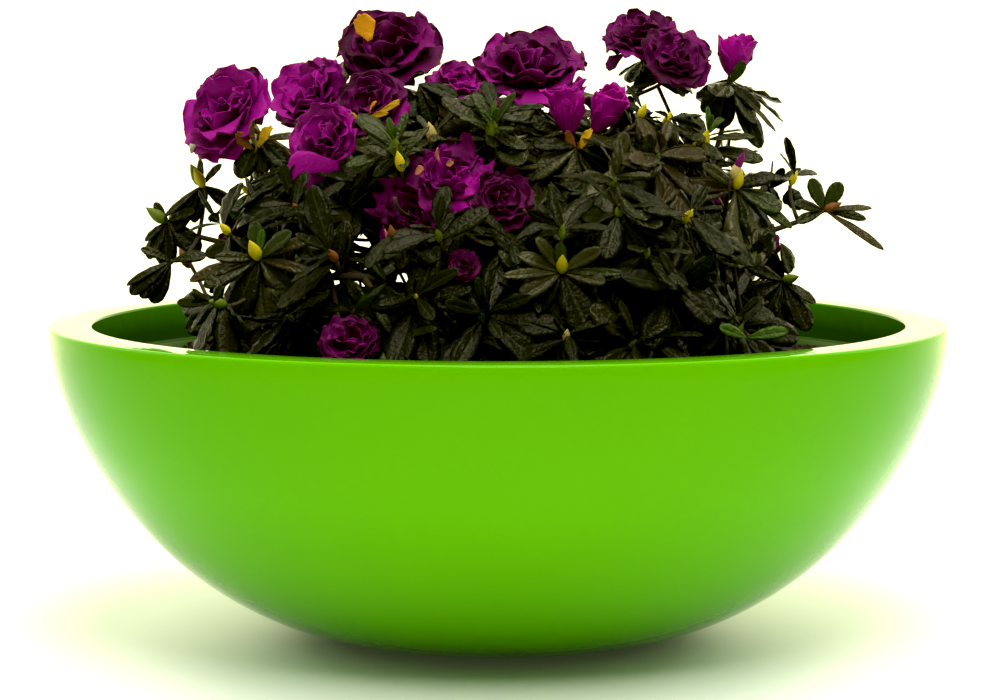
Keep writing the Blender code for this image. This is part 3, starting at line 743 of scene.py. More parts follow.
# Leaf whorls that stand out: mass, centre, leaf length, heading and lift in degrees
WHORLS = (
    ("front_left", (-0.138, -0.128, 0.240), 0.042, 240, 50),
    ("front_right", (0.036, -0.150, 0.234), 0.042, 272, 50),
    ("top_right", (-0.003, -0.082, 0.306), 0.036, 262, 60),
    ("right", (0.141, -0.070, 0.278), 0.050, 280, 65),
    ("front", (-0.059, -0.094, 0.296), 0.034, 255, 60),
    ("right", (0.198, -0.020, 0.262), 0.038, 350, 25),
    ("left", (-0.204, 0.002, 0.254), 0.036, 185, 35),
    ("left", (-0.198, -0.032, 0.232), 0.036, 200, 10),
    ("left", (-0.182, 0.006, 0.276), 0.030, 170, 60),
    ("front_left", (-0.156, -0.140, 0.214), 0.040, 220, 15),
    ("right", (0.170, -0.056, 0.222), 0.038, 320, 15),
    ("top_right", (0.122, -0.040, 0.300), 0.036, 300, 60),
    ("front", (-0.046, -0.150, 0.216), 0.044, 262, 30),
    ("front", (-0.008, -0.152, 0.206), 0.042, 275, 30),
)

# The back of the crown carries flowers too, in two rows that alternate: share of the way to the crown's
# surface, lift in degrees and width
BACK_BLOOMS = 9
BACK_HEADINGS = (2.0, 178.0)
BACK_ROWS = ((0.88, 34.0, 0.054), (0.98, 14.0, 0.046))


# %% Directions, curves and the crown's surface
def facing(heading, lift):
    """The unit vector that points to a heading round Z from +X and lifts above level, in degrees."""
    level = math.cos(math.radians(lift))
    turn = math.radians(heading)
    return Vector((level * math.cos(turn), level * math.sin(turn), math.sin(math.radians(lift))))


def bend(start, pull, end, rings):
    """Points along a curve that leaves start towards pull and arrives at end."""
    points = []
    for ring in range(rings + 1):
        t = ring / rings
        points.append(start * (1 - t) ** 2 + pull * (2 * t * (1 - t)) + end * t ** 2)
    return points


def taper(start, end, rings):
    """Radii that fall evenly from start to end."""
    return [start + (end - start) * ring / rings for ring in range(rings + 1)]


def way_at(path, index):
    """The direction of a path at one of its points."""
    ahead = path[min(index + 1, len(path) - 1)]
    behind = path[max(index - 1, 0)]
    return (ahead - behind).normalized()


def crown_point(direction, share):
    """Where a ray from the crown's centre meets its surface, or a share of the way there."""
    parts = [abs(direction[axis] / CROWN_REACH[axis]) ** CROWN_POWER for axis in range(3)]
    return CROWN_CENTRE + direction * (share / sum(parts) ** (1 / CROWN_POWER))


def seeded_shoots(count, share):
    """Even directions over the crown, from its skirt to its top, as (end, outward way) pairs."""
    for number in range(count):
        rise = SKIRT_RISE + (TOP_RISE - SKIRT_RISE) * ((number + 0.5) / count) ** SKIRT_CROWDING
        level = math.sqrt(max(0.0, 1.0 - rise * rise))
        turn = GOLDEN_TURN * number
        way = Vector((level * math.cos(turn), level * math.sin(turn), rise))
        yield crown_point(way, share), way.normalized()


def back_blooms():
    """Flowers of the crown's far side, in two alternating rows, each given to the nearest hub's mass."""
    first, last = BACK_HEADINGS
    made = []
    for number in range(BACK_BLOOMS):
        share, lift, width = BACK_ROWS[number % 2]
        heading = first + (last - first) * number / (BACK_BLOOMS - 1)
        centre = crown_point(facing(heading, lift), share)
        mass = min(HUBS, key=lambda name: (HUBS[name][0] - centre).length)
        made.append((mass, "open", centre, width, heading, lift + 25.0))
    return made


ALL_BLOOMS = BLOOMS + tuple(back_blooms())
CENTRES = {name: [hub] for name, (hub, level, seed) in HUBS.items()}
for row in ALL_BLOOMS:
    CENTRES[row[0]].append(Vector(row[2]))
for row in WHORLS:
    CENTRES[row[0]].append(Vector(row[1]))
print("masses:", len(HUBS), "flowers:", len(ALL_BLOOMS))


# %% Spaces
def nearest_mass(place):
    """The mass one of whose centres is the nearest to a place."""
    return min(CENTRES, key=lambda mass: min((centre - place).length for centre in CENTRES[mass]))


def in_own_space(mass, point):
    """True where a point is nearer to the mass's own centres than to any other mass's, by the margin."""
    own = min(CENTRES[mass], key=lambda centre: (centre - point).length_squared)
    near = (own - point).length_squared
    for other, centres in CENTRES.items():
        if other == mass:
            continue
        for centre in centres:
            if (centre - point).length_squared - near < 2 * SPACE_MARGIN * (centre - own).length:
                return False
    return True


def clear_of_bowl(point):
    """True above the mix and inside the lip, or above the rim."""
    if point.z > BOWL_HEIGHT + BOWL_MARGIN:
        return True
    return point.z > MIX_TOP + BOWL_MARGIN and math.hypot(point.x, point.y) < LIP_RADIUS - BOWL_MARGIN


def clear_of_limbs(point, limbs):
    """True where a point keeps its distance from every stretch of stem and bough."""
    for start, end, radius in limbs:
        run = end - start
        share = min(max((point - start).dot(run) / run.length_squared, 0.0), 1.0)
        if (point - start - run * share).length < radius + LIMB_MARGIN:
            return False
    return True


def line_fits(mass, line, limbs):
    """True where every sampled point of a broken line stays in its mass's space."""
    for start, end in zip(line, line[1:]):
        steps = max(1, math.ceil((end - start).length / SAMPLE_STEP))
        for step in range(steps + 1):
            point = start.lerp(end, step / steps)
            if not (in_own_space(mass, point) and clear_of_bowl(point) and clear_of_limbs(point, limbs)):
                return False
    return True


# %% Stem and bough lines
def stem_point(height):
    """A point on the leaning stem's axis, at a height above the mix."""
    foot = Vector((0.0, 0.0, MIX_TOP + CLEARANCE))
    lean = max(0.0, height - FLARE_HEIGHT) / (STEM_HEIGHT - FLARE_HEIGHT)
    return foot + STEM_LEAN * lean + Vector((0.0, 0.0, height))


def bough_path(mass):
    """The axis of a bough: out of the stem, up, and on to where its mass's own space starts."""
    hub, level, _ = HUBS[mass]
    start = stem_point(level)
    if level == STEM_HEIGHT:
        start = start + Vector((math.copysign(FORK_SPREAD, hub.x), 0.0, -STEM_RADIUS * 0.5))
    share = 1.0
    while share > SHORTEST_BOUGH and in_own_space(mass, start.lerp(hub, share - HUB_SHORTFALL)):
        share -= BOUGH_STEP
    end = start.lerp(hub, share)
    pull = start.lerp(end, 0.5) + Vector((0.0, 0.0, BOUGH_DIP * (end - start).length))
    if level == STEM_HEIGHT:
        pull = start.lerp(end, 0.4) + Vector((0.0, 0.0, FORK_ARCH * (end - start).length))
    return bend(start, pull, end, BOUGH_RINGS)


STEM_HEIGHTS = (0.0, FLARE_HEIGHT * 0.3, FLARE_HEIGHT, STEM_HEIGHT * 0.55, STEM_HEIGHT)
STEM_RADII = (FLARE_RADIUS, FLARE_RADIUS * 0.80, STEM_RADIUS * 1.18, STEM_RADIUS * 1.04, STEM_RADIUS)
stem_path = [stem_point(height) for height in STEM_HEIGHTS]
boughs = {name: bough_path(name) for name in HUBS}
limbs = list(zip(stem_path, stem_path[1:], STEM_RADII))
for path in boughs.values():
    limbs += zip(path, path[1:], taper(BOUGH_BASE, BOUGH_TIP, BOUGH_RINGS))
print("limb stretches:", len(limbs))

# %% [markdown]
# ## Stem and boughs
#
# The stem of an old pot azalea is short, thick at its foot and covered in thin bark that cracks along it. A
# turned cone with a bump would show straight edges and a seam at every fork. So stem and boughs are drawn as
# thick curves, made meshes and joined. A voxel remesh then melts them into one skin, with the forks filled
# as wood fills them, and two noises push that skin in and out into real ridges.

# %% Limbs
BARK_VOXEL = 0.0008
BARK_EVENING = 6
ROOT_RIDGES = 5
ROOT_TURN = 20.0
ROOT_RADII = (0.0026, 0.0042)
ROOT_RINGS = 6
# The two noises that push the bark in and out: size and strength
SWELLINGS = (0.011, 0.0022)
CRACKS = (0.0024, 0.0011)


def drawn_limb(path, radii):
    """A round limb along a path, drawn as a thick curve and made a mesh."""
    clear_selection()
    bpy.ops.curve.primitive_bezier_curve_add(location=(0.0, 0.0, 0.0))
    obj = bpy.context.object
    curve = obj.data
    curve.splines.clear()
    line = curve.splines.new("POLY")
    line.points.add(len(path) - 1)
    for point, place, radius in zip(line.points, path, radii):
        point.co = (*place, 1.0)
        point.radius = radius
    curve.bevel_depth = 1.0
    curve.bevel_resolution = 4
    curve.use_fill_caps = True
    curve.resolution_u = 1
    bpy.ops.object.convert(target="MESH")
    return bpy.context.object


drawn = [drawn_limb(stem_path, STEM_RADII)]
for number in range(ROOT_RIDGES):
    way = facing(360.0 * number / ROOT_RIDGES + ROOT_TURN, 0.0)
    high = stem_point(FLARE_HEIGHT * 1.9) + way * (STEM_RADIUS * 0.62)
    low = stem_point(0.0) + way * (FLARE_RADIUS * 0.80)
    pull = stem_point(FLARE_HEIGHT * 0.5) + way * (STEM_RADIUS * 0.95)
    drawn.append(drawn_limb(bend(high, pull, low, ROOT_RINGS), taper(*ROOT_RADII, ROOT_RINGS)))
for path in boughs.values():
    smooth = []
    for first, second in zip(path, path[1:]):
        smooth += [first, first.lerp(second, 0.5)]
    smooth.append(path[-1])
    radii = taper(BOUGH_BASE, BOUGH_TIP, len(smooth) - 1)
    drawn.append(drawn_limb(smooth, radii))
clear_selection()
for obj in drawn:
    obj.select_set(True)
limb_skin = drawn[0]
bpy.context.view_layer.objects.active = limb_skin
bpy.ops.object.join()
limb_skin.name = "stem_and_boughs"
limb_skin.data.name = "stem_and_boughs"
skin = limb_skin.modifiers.new("melt", "REMESH")
skin.mode = "VOXEL"
skin.voxel_size = BARK_VOXEL
even = limb_skin.modifiers.new("even", "SMOOTH")
even.factor = 0.5
even.iterations = BARK_EVENING
displace(limb_skin, clouds("swellings", SWELLINGS[0]), SWELLINGS[1])
displace(limb_skin, clouds("cracks", CRACKS[0], 3), CRACKS[1])
apply_all(limb_skin)
clear_selection()
bpy.context.view_layer.objects.active = limb_skin
bpy.ops.object.mode_set(mode="EDIT")
bpy.ops.mesh.select_all(action="SELECT")
foot = (0.0, 0.0, MIX_TOP + CLEARANCE)
bpy.ops.mesh.bisect(plane_co=foot, plane_no=(0.0, 0.0, 1.0), use_fill=True, clear_inner=True)
bpy.ops.object.mode_set(mode="OBJECT")
limb_skin.data.shade_smooth()
print("limb faces:", len(limb_skin.data.polygons))

# %% Bark
BARK_TONES = ((0.30, (0.020, 0.013, 0.009)), (0.55, (0.085, 0.056, 0.037)), (0.80, (0.19, 0.145, 0.105)))
LICHEN = (0.105, 0.10, 0.075)
BARK_GRAIN = 0.0016
BARK_GRAIN_DEPTH = 0.0006
# The grain is drawn out along the stem
ALONG_STEM = (1.0, 1.0, 0.28)

bark = Finish("bark", specular_ior_level=0.3)
grain = bark.noise(BARK_GRAIN, 5.0, 0.65, scale=ALONG_STEM)
bark_colour = bark.ramp(grain, *BARK_TONES)
lichen = bark.ramp(bark.noise(0.012, 3.0), (0.52, 0.0), (0.70, 0.55))
bark.paint("Base Color", bark.mix(lichen, bark_colour, LICHEN))
bark.paint("Roughness", 0.95 - 0.2 * grain)
bark.relief(grain, BARK_GRAIN_DEPTH)
limb_skin.data.materials.clear()
limb_skin.data.materials.append(bark.material)
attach(limb_skin, "root")
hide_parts("main_stem", *("bough_" + name for name in HUBS))

# %% [markdown]
# ## Growing the twigs
#
# First the twigs of the solids grow again, each from the same place. Then four more layers of shoots, closer
# together and at four depths, fill the crown as the real plant's fine twigs do. What grows is only lines and
# places at this stage, so that leaves and flowers can be dealt out over all of them afterwards.


# %% Growth
class Mass:
    """One mass of foliage: its twigs as lines with radii, and the places where more twigs can start."""

    def __init__(self, name):
        self.name = name
        hub, _, seed = HUBS[name]
        self.random = random.Random(seed)
        self.ends = []
        self.nodes = []
        bough = boughs[name]
        way = (bough[-1] - bough[-2]).normalized()
        start = bough[-1] + way * CLEARANCE
        path = bend(start, start + way * ((hub - start).length * 0.4), hub, TWIG_RINGS)
        self.twigs = [(path, taper(BOUGH_TIP, TWIG_BASE, TWIG_RINGS))]
        self.add_nodes(*self.twigs[0], TWIG_RINGS)

    def add_nodes(self, path, radii, last):
        """Makes the inner points of a twig into places where others can start."""
        for index in range(1, last + 1):
            self.nodes.append((path[index], way_at(path, index), radii[index]))

    def grow_to(self, end, axis, tip=TWIG_TIP):
        """Grows one twig from the nearest fitting point of the mass to an end; says if it fitted."""
        def cost(node):
            """The way to the end, made dearer where a twig would have to turn back to take it."""
            run = end - node[0]
            return run.length * (1.0 + TURN_COST - TURN_COST * run.normalized().dot(node[1]))

        for point, way, radius in sorted(self.nodes, key=cost)[:TWIG_TRIES]:
            length = (end - point).length
            if length < 2 * TWIG_BASE:
                continue
            pull = end - axis * (length * TWIG_ARCH) + way * (length * TWIG_RUN)
            path = bend(point, pull, end, TWIG_RINGS)
            if line_fits(self.name, path[1:], limbs):
                radii = taper(max(radius * TWIG_THINNING, tip), tip, TWIG_RINGS)
                self.twigs.append((path, radii))
                self.add_nodes(path, radii, TWIG_RINGS - 1)
                self.ends.append(end)
                return True
        return False


def grow_shoots(masses, shoots, spacing, tip=TWIG_TIP):
    """Grows a twig to every shoot's end that has room, from the crown's middle outwards."""
    grown = []
    for end, way in sorted(shoots, key=lambda shoot: (shoot[0] - CROWN_CENTRE).length):
        name = next((name for name in HUBS if in_own_space(name, end)), None)
        near_bloom = any((end - Vector(bloom[2])).length < bloom[3] * BLOOM_ROOM for bloom in ALL_BLOOMS)
        ends = [other for mass in masses.values() for other in mass.ends]
        if name is None or near_bloom or any((end - other).length < spacing for other in ends):
            continue
        axis = (way + Vector((0.0, 0.0, SHOOT_RISE))).normalized()
        if masses[name].grow_to(end, axis, tip):
            grown.append((masses[name], end, axis))
    return grown


# %% Twigs of the solids
masses = {name: Mass(name) for name in HUBS}
sprays = []
for name, form, centre, width, heading, lift in ALL_BLOOMS:
    axis = facing(heading, lift)
    foot = Vector(centre) - axis * (BLOOM_FOOT * width + BUD_RADIUS)
    if masses[name].grow_to(foot, axis):
        sprays.append(("bloom", masses[name], foot, axis, LEAF_LENGTH, WHORL_LEAVES, BLOOM_LEAVES))
for name, centre, length, heading, lift in WHORLS:
    axis = facing(heading, lift)
    if masses[name].grow_to(Vector(centre), axis):
        sprays.append(("named", masses[name], Vector(centre), axis, length, WHORL_LEAVES + 1, NAMED_LEAVES))
coarse = [*seeded_shoots(OUTER_SHOOTS, 1.0), *seeded_shoots(INNER_SHOOTS, INNER_SHARE)]
for mass, end, axis in grow_shoots(masses, coarse, SHOOT_SPACING):
    sprays.append(("shoot", mass, end, axis, LEAF_LENGTH, WHORL_LEAVES, SHOOT_LEAVES))
bloom_turns = [masses[row[0]].random.uniform(0.0, math.tau) for row in ALL_BLOOMS]
print("whorls of the solids:", len(sprays))

# %% Twigs of the flower buds and of a late flower
LATE_BLOOM = ("front", "faded", (-0.020, -0.150, 0.238), 0.020, 270, 20)
LATE_FOOT = 0.010
EVERY_BLOOM = (*ALL_BLOOMS, LATE_BLOOM)
late_way = facing(*LATE_BLOOM[4:])
masses["front"].grow_to(Vector(LATE_BLOOM[2]) - late_way * LATE_FOOT, late_way)

BUD_SHADES = (
    ("green bud", (0.130, 0.180, 0.012), 0.5),
    ("yellow bud", (0.700, 0.560, 0.015), 0.5),
    ("cream bud", (0.680, 0.520, 0.160), 0.5),
    ("brown bud", (0.230, 0.075, 0.018), 0.6),
    ("purple bud", (0.170, 0.001, 0.110), 0.5),
)
GREEN_BUD, YELLOW_BUD, CREAM_BUD, BROWN_BUD, PURPLE_BUD = range(len(BUD_SHADES))
BUD_FATNESS = 0.24
BUD_LEAN = 0.5
# Buds that show colour: place, length, shade
FLOWER_BUDS = (
    ((0.138, -0.074, 0.284), 0.013, PURPLE_BUD),
    ((-0.001, -0.070, 0.316), 0.013, PURPLE_BUD),
    ((-0.038, -0.072, 0.304), 0.015, CREAM_BUD),
    ((-0.056, -0.108, 0.290), 0.013, YELLOW_BUD),
    ((0.112, -0.050, 0.293), 0.013, YELLOW_BUD),
    ((0.084, -0.044, 0.318), 0.011, YELLOW_BUD),
    ((0.099, -0.040, 0.313), 0.011, YELLOW_BUD),
    ((0.178, -0.010, 0.277), 0.010, YELLOW_BUD),
    ((-0.180, -0.010, 0.276), 0.013, YELLOW_BUD),
    ((0.087, -0.156, 0.192), 0.012, CREAM_BUD),
    ((0.038, -0.160, 0.194), 0.010, CREAM_BUD),
    ((0.084, -0.146, 0.241), 0.008, GREEN_BUD),
    ((0.068, -0.138, 0.264), 0.011, GREEN_BUD),
    ((0.036, -0.150, 0.253), 0.010, GREEN_BUD),
    ((-0.188, -0.024, 0.228), 0.013, BROWN_BUD),
    ((-0.060, -0.146, 0.253), 0.009, BROWN_BUD),
    ((0.138, -0.130, 0.196), 0.008, GREEN_BUD),
)
flower_buds = []
for row in FLOWER_BUDS:
    end = Vector(row[0])
    outward = Vector((end.x, end.y, 0.0)).normalized()
    axis = (outward * BUD_LEAN + Vector((0.0, 0.0, 1.0))).normalized()
    mass = masses[nearest_mass(end)]
    mass.grow_to(end, axis)
    flower_buds.append((row, end, axis))
    sprays.append(("bud", mass, end, axis, LEAF_LENGTH, 0, SHOOT_LEAVES))

# %% Finer twigs
FINE_LAYERS = ((0.97, 240), (0.86, 180), (0.72, 130), (0.55, 80))
FINE_SPACING = 0.0235
FINE_TIP = 0.0008

fine_shoots = [shoot for share, count in FINE_LAYERS for shoot in seeded_shoots(count, share)]
fine = grow_shoots(masses, fine_shoots, FINE_SPACING, FINE_TIP)
print("finer shoots:", len(fine))

# %% [markdown]
# ## Leaves
#
# An azalea leaf is a pointed ellipse with a sunk midrib, puckered between its side veins, and it arches a
# little under its own weight. A flat card with a picture on it would look like paper from the side, so each
# leaf is a small closed shape of its own: a puckered upper side over a keel. One pattern of faces serves all
# of them, and only the points are worked out for each leaf.

# %% A leaf
LEAF_ROWS = np.array((0.0, 0.10, 0.25, 0.40, 0.55, 0.70, 0.84, 0.94, 1.0))
LEAF_COLUMNS = np.array((-1.0, -0.52, -0.07, 0.07, 0.52, 1.0))
LEAF_SECTION = np.array((-0.02, 0.09, -0.13, -0.13, 0.09, -0.02))
PUCKER = 0.085
PUCKER_SECTION = np.array((-0.6, 1.0, 0.0, 0.0, 1.0, -0.6))
KEEL_DEPTH = 0.00045
LEAF_CLEARANCE = 0.0020


def leaf_faces():
    """The triangles of a leaf: its upper side, its keel, and a cap at stalk and tip."""
    wide = len(LEAF_COLUMNS)
    last = len(LEAF_ROWS) - 1
    keel = wide * len(LEAF_ROWS)
    faces = []
    for row in range(last):
        for column in range(wide - 1):
            a = row * wide + column
            faces += [(a, a + wide, a + wide + 1), (a, a + wide + 1, a + 1)]
        low, after = keel + row, keel + row + 1
        left, right = row * wide, row * wide + wide - 1
        faces += [(left, low, after), (left, after, left + wide)]
        faces += [(low, right, right + wide), (low, right + wide, after)]
    for column in range(wide - 1):
        faces.append((column, column + 1, keel))
        faces.append((last * wide + column + 1, last * wide + column, keel + last))
    return np.array(faces)


LEAF_FACES = leaf_faces()
LEAF_POINTS = (len(LEAF_COLUMNS) + 1) * len(LEAF_ROWS)
# The faces of the upper side whose three corners lie on the midrib's two columns
on_upper_side = LEAF_FACES < len(LEAF_COLUMNS) * len(LEAF_ROWS)
MIDRIB = np.all(on_upper_side & np.isin(LEAF_FACES % len(LEAF_COLUMNS), (2, 3)), axis=1)
# A leaf is widest about two thirds of the way to its tip, and its outline is never quite zero
LEAF_OUTLINE = (LEAF_ROWS + 0.012) ** 1.02 * (1.0 - 0.993 * LEAF_ROWS) ** 0.54
LEAF_OUTLINE = LEAF_OUTLINE / LEAF_OUTLINE.max()
LEAF_WAVES = np.where(np.arange(len(LEAF_ROWS)) % 2 == 0, 1.0, -1.0)
LEAF_HEIGHTS = LEAF_SECTION + np.outer(LEAF_WAVES, PUCKER * PUCKER_SECTION)


def leaf_points(foot, along, up, length, slimness, sag, roll):
    """The points of one leaf, from its stalk along its way, arched down by sag and rolled, in radians."""
    side = np.cross(up, along)
    side, up = side * math.cos(roll) + up * math.sin(roll), up * math.cos(roll) - side * math.sin(roll)
    half = LEAF_OUTLINE * (length * slimness / 2)
    arc = sag * LEAF_ROWS
    spine = np.outer(np.sin(arc), along) - np.outer(1.0 - np.cos(arc), up)
    spine = foot + spine * (length / sag)
    normal = np.outer(np.cos(arc), up) + np.outer(np.sin(arc), along)
    across = np.outer(half, LEAF_COLUMNS)[:, :, None] * side
    raised = (LEAF_HEIGHTS * half[:, None])[:, :, None] * normal[:, None, :]
    upper = (spine[:, None, :] + across + raised).reshape(-1, 3)
    depth = (LEAF_HEIGHTS[:, 2] * half - KEEL_DEPTH)[:, None]
    return np.concatenate([upper, spine + normal * depth])


def outside_bowl(points):
    """True where all points keep clear of the bowl and the mix."""
    inside = np.hypot(points[:, 0], points[:, 1]) < LIP_RADIUS - LEAF_CLEARANCE
    above = points[:, 2] > BOWL_HEIGHT + LEAF_CLEARANCE
    return bool(np.all((inside & (points[:, 2] > MIX_TOP + LEAF_CLEARANCE)) | above))


# %% Shades of green
# Old leaves are nearly black, those of the season green or bronze, and the newest yellow-green. One lighter
# shade is painted light: leaves that catch the light are painted lighter.
# Each row: name, colour, roughness, gloss
LEAF_SHADES = (
    ("old leaf", (0.0080, 0.0100, 0.0030), 0.30, 0.13),
    ("leaf", (0.0180, 0.0200, 0.0046), 0.27, 0.22),
    ("fresh leaf", (0.0240, 0.0370, 0.0060), 0.30, 0.22),
    ("bronze leaf", (0.0380, 0.0270, 0.0095), 0.28, 0.24),
    ("young leaf", (0.0420, 0.1000, 0.0060), 0.42, 0.22),
    # This lighter shade is painted light, a lit copy of the leaf colour
    ("pale leaf", (0.0560, 0.0540, 0.0200), 0.30, 0.24),
    ("midrib", (0.0230, 0.0275, 0.0080), 0.36, 0.18),
)
OLD, LEAF, FRESH, BRONZE, YOUNG, PAINTED_LIT, VEIN = range(len(LEAF_SHADES))
SHEEN_TINT = (1.0, 0.92, 0.70)
WRINKLE = 0.0022
WRINKLE_DEPTH = 0.0009
leaf_finishes = []
for name, colour, roughness, gloss in LEAF_SHADES:
    finish = Finish(name, base_color=colour, roughness=roughness, specular_ior_level=gloss)
    finish.paint("Specular Tint", SHEEN_TINT)
    finish.relief(finish.noise(WRINKLE, 2.0), WRINKLE_DEPTH)
    leaf_finishes.append(finish)
# How often each shade is dealt to a spray: high in the crown, low in it, and to the whorls that stand out.
# Below the level after these tables sprays are dealt mostly the dark old tone, as painted shade, and above it
# the lighter shades, as painted light.
HIGH_SHADES = ((OLD, 30), (LEAF, 22), (FRESH, 7), (BRONZE, 30), (PAINTED_LIT, 11))
LOW_SHADES = ((OLD, 78), (LEAF, 14), (FRESH, 3), (BRONZE, 5))
NAMED_SHADES = ((LEAF, 50), (FRESH, 30), (BRONZE, 20))
PAINTED_SHADE_LEVEL = 0.284

# %% [markdown]
# ## Whorls
#
# At each twig's end the leaves stand in tiers: old ones low and drooping, younger and shorter ones above
# them, and three or four narrow ones at the top. The lowest tier repeats the leaves of the solids, turn for
# turn. A leaf that would cut into the bowl, hide a flower or close a gap that daylight shows through is tried
# shorter and then left out, as a real one would be pushed aside or shed. The whorls that stand out at the
# front are told leaf by leaf, and a little room is kept before each.

# %% Dealing out the leaves
LEAF_TRIES = (1.0, 0.78, 0.6)
MAIN_SAG = 0.28
LEAF_SLIM = (0.38, 0.54)
YOUNG_SLIM = (0.26, 0.34)
NARROW_LIFT = 20.0
# Tiers for each kind of spray: leaves, lift in degrees, share of the length, droop, shade
TIERS = {
    "bloom": ((4, -8.0, 0.96, 0.6, None), (4, 6.0, 0.84, 0.4, None), (4, 24.0, 0.62, 0.1, None)),
    "named": (
        (3, 0.0, 1.04, 0.8, None), (4, 14.0, 0.92, 0.2, None),
        (4, 40.0, 0.66, 0.0, FRESH), (3, 68.0, 0.40, 0.0, YOUNG),
    ),
    "shoot": ((2, -4.0, 1.0, 0.8, None), (3, 20.0, 0.84, 0.2, None), (3, 52.0, 0.50, 0.0, None)),
    "bud": ((4, 4.0, 0.80, 0.5, None), (4, 30.0, 0.60, 0.1, None)),
    "fine": ((3, -10.0, 0.92, 0.5, None), (3, 24.0, 0.72, 0.1, None)),
}
TIER_STEP = 0.0030
FINE_LENGTH = 0.044
TURN_SPREAD = 0.18
LIFT_SPREAD = 9.0
SIZE_SPREAD = (0.82, 1.12)
SAG_SPREAD = (0.10, 0.50)
# How far leaves roll about their own length, and how much more where a spray points to the side
FREE_ROLL = 0.16
SIDE_ROLL = 0.55
# Past this distance from the middle, a share of the finer whorls is left out
OPEN_SIDE = 0.130
SIDE_GAPS = 0.45
# Gaps through which daylight shows from the front: place across and up in the plane of the stem, half width
DAYLIGHT = (
    (-0.136, 0.316, 0.0055), (-0.159, 0.291, 0.0049), (-0.100, 0.221, 0.0034), (-0.084, 0.239, 0.0034),
    (-0.083, 0.218, 0.0016), (-0.059, 0.219, 0.0014), (-0.134, 0.227, 0.0024), (-0.172, 0.248, 0.0024),
    (0.149, 0.266, 0.0031), (0.162, 0.256, 0.0024), (0.156, 0.262, 0.0018), (0.161, 0.215, 0.0031),
    (0.175, 0.259, 0.0031), (0.186, 0.254, 0.0031), (0.177, 0.247, 0.0024), (0.096, 0.330, 0.0055),
    (0.117, 0.325, 0.0024), (0.072, 0.337, 0.0037), (-0.164, 0.210, 0.0031), (-0.178, 0.227, 0.0024),
    (-0.189, 0.219, 0.0043),
)
# Gaps are tested against the points of a leaf, so each is taken this much wider
LEAF_MESH = 0.0018
# Low at the sides, past this distance and below this level, shoots keep their lowest tier only and finer
# ones have no whorl, other than the bare ends of the crown's far half
LOW_SIDE = (0.135, 0.232)
# The room of a flower, in shares of its width: its radius, where it starts, and how far it reaches before the
# flower for each kind of spray
ROOM_RADIUS = 0.44
ROOM_HEART = 0.06
ROOM_VIEW = {"bloom": 0.16, "named": 0.7, "shoot": 0.95, "fine": 0.95, "bud": 0.8}
# Below a level the crown is narrower than its widest sprays: level and reach at the left and the right
LEFT_SIDE = (0.240, -0.184)
RIGHT_SIDE = (0.247, 0.180)

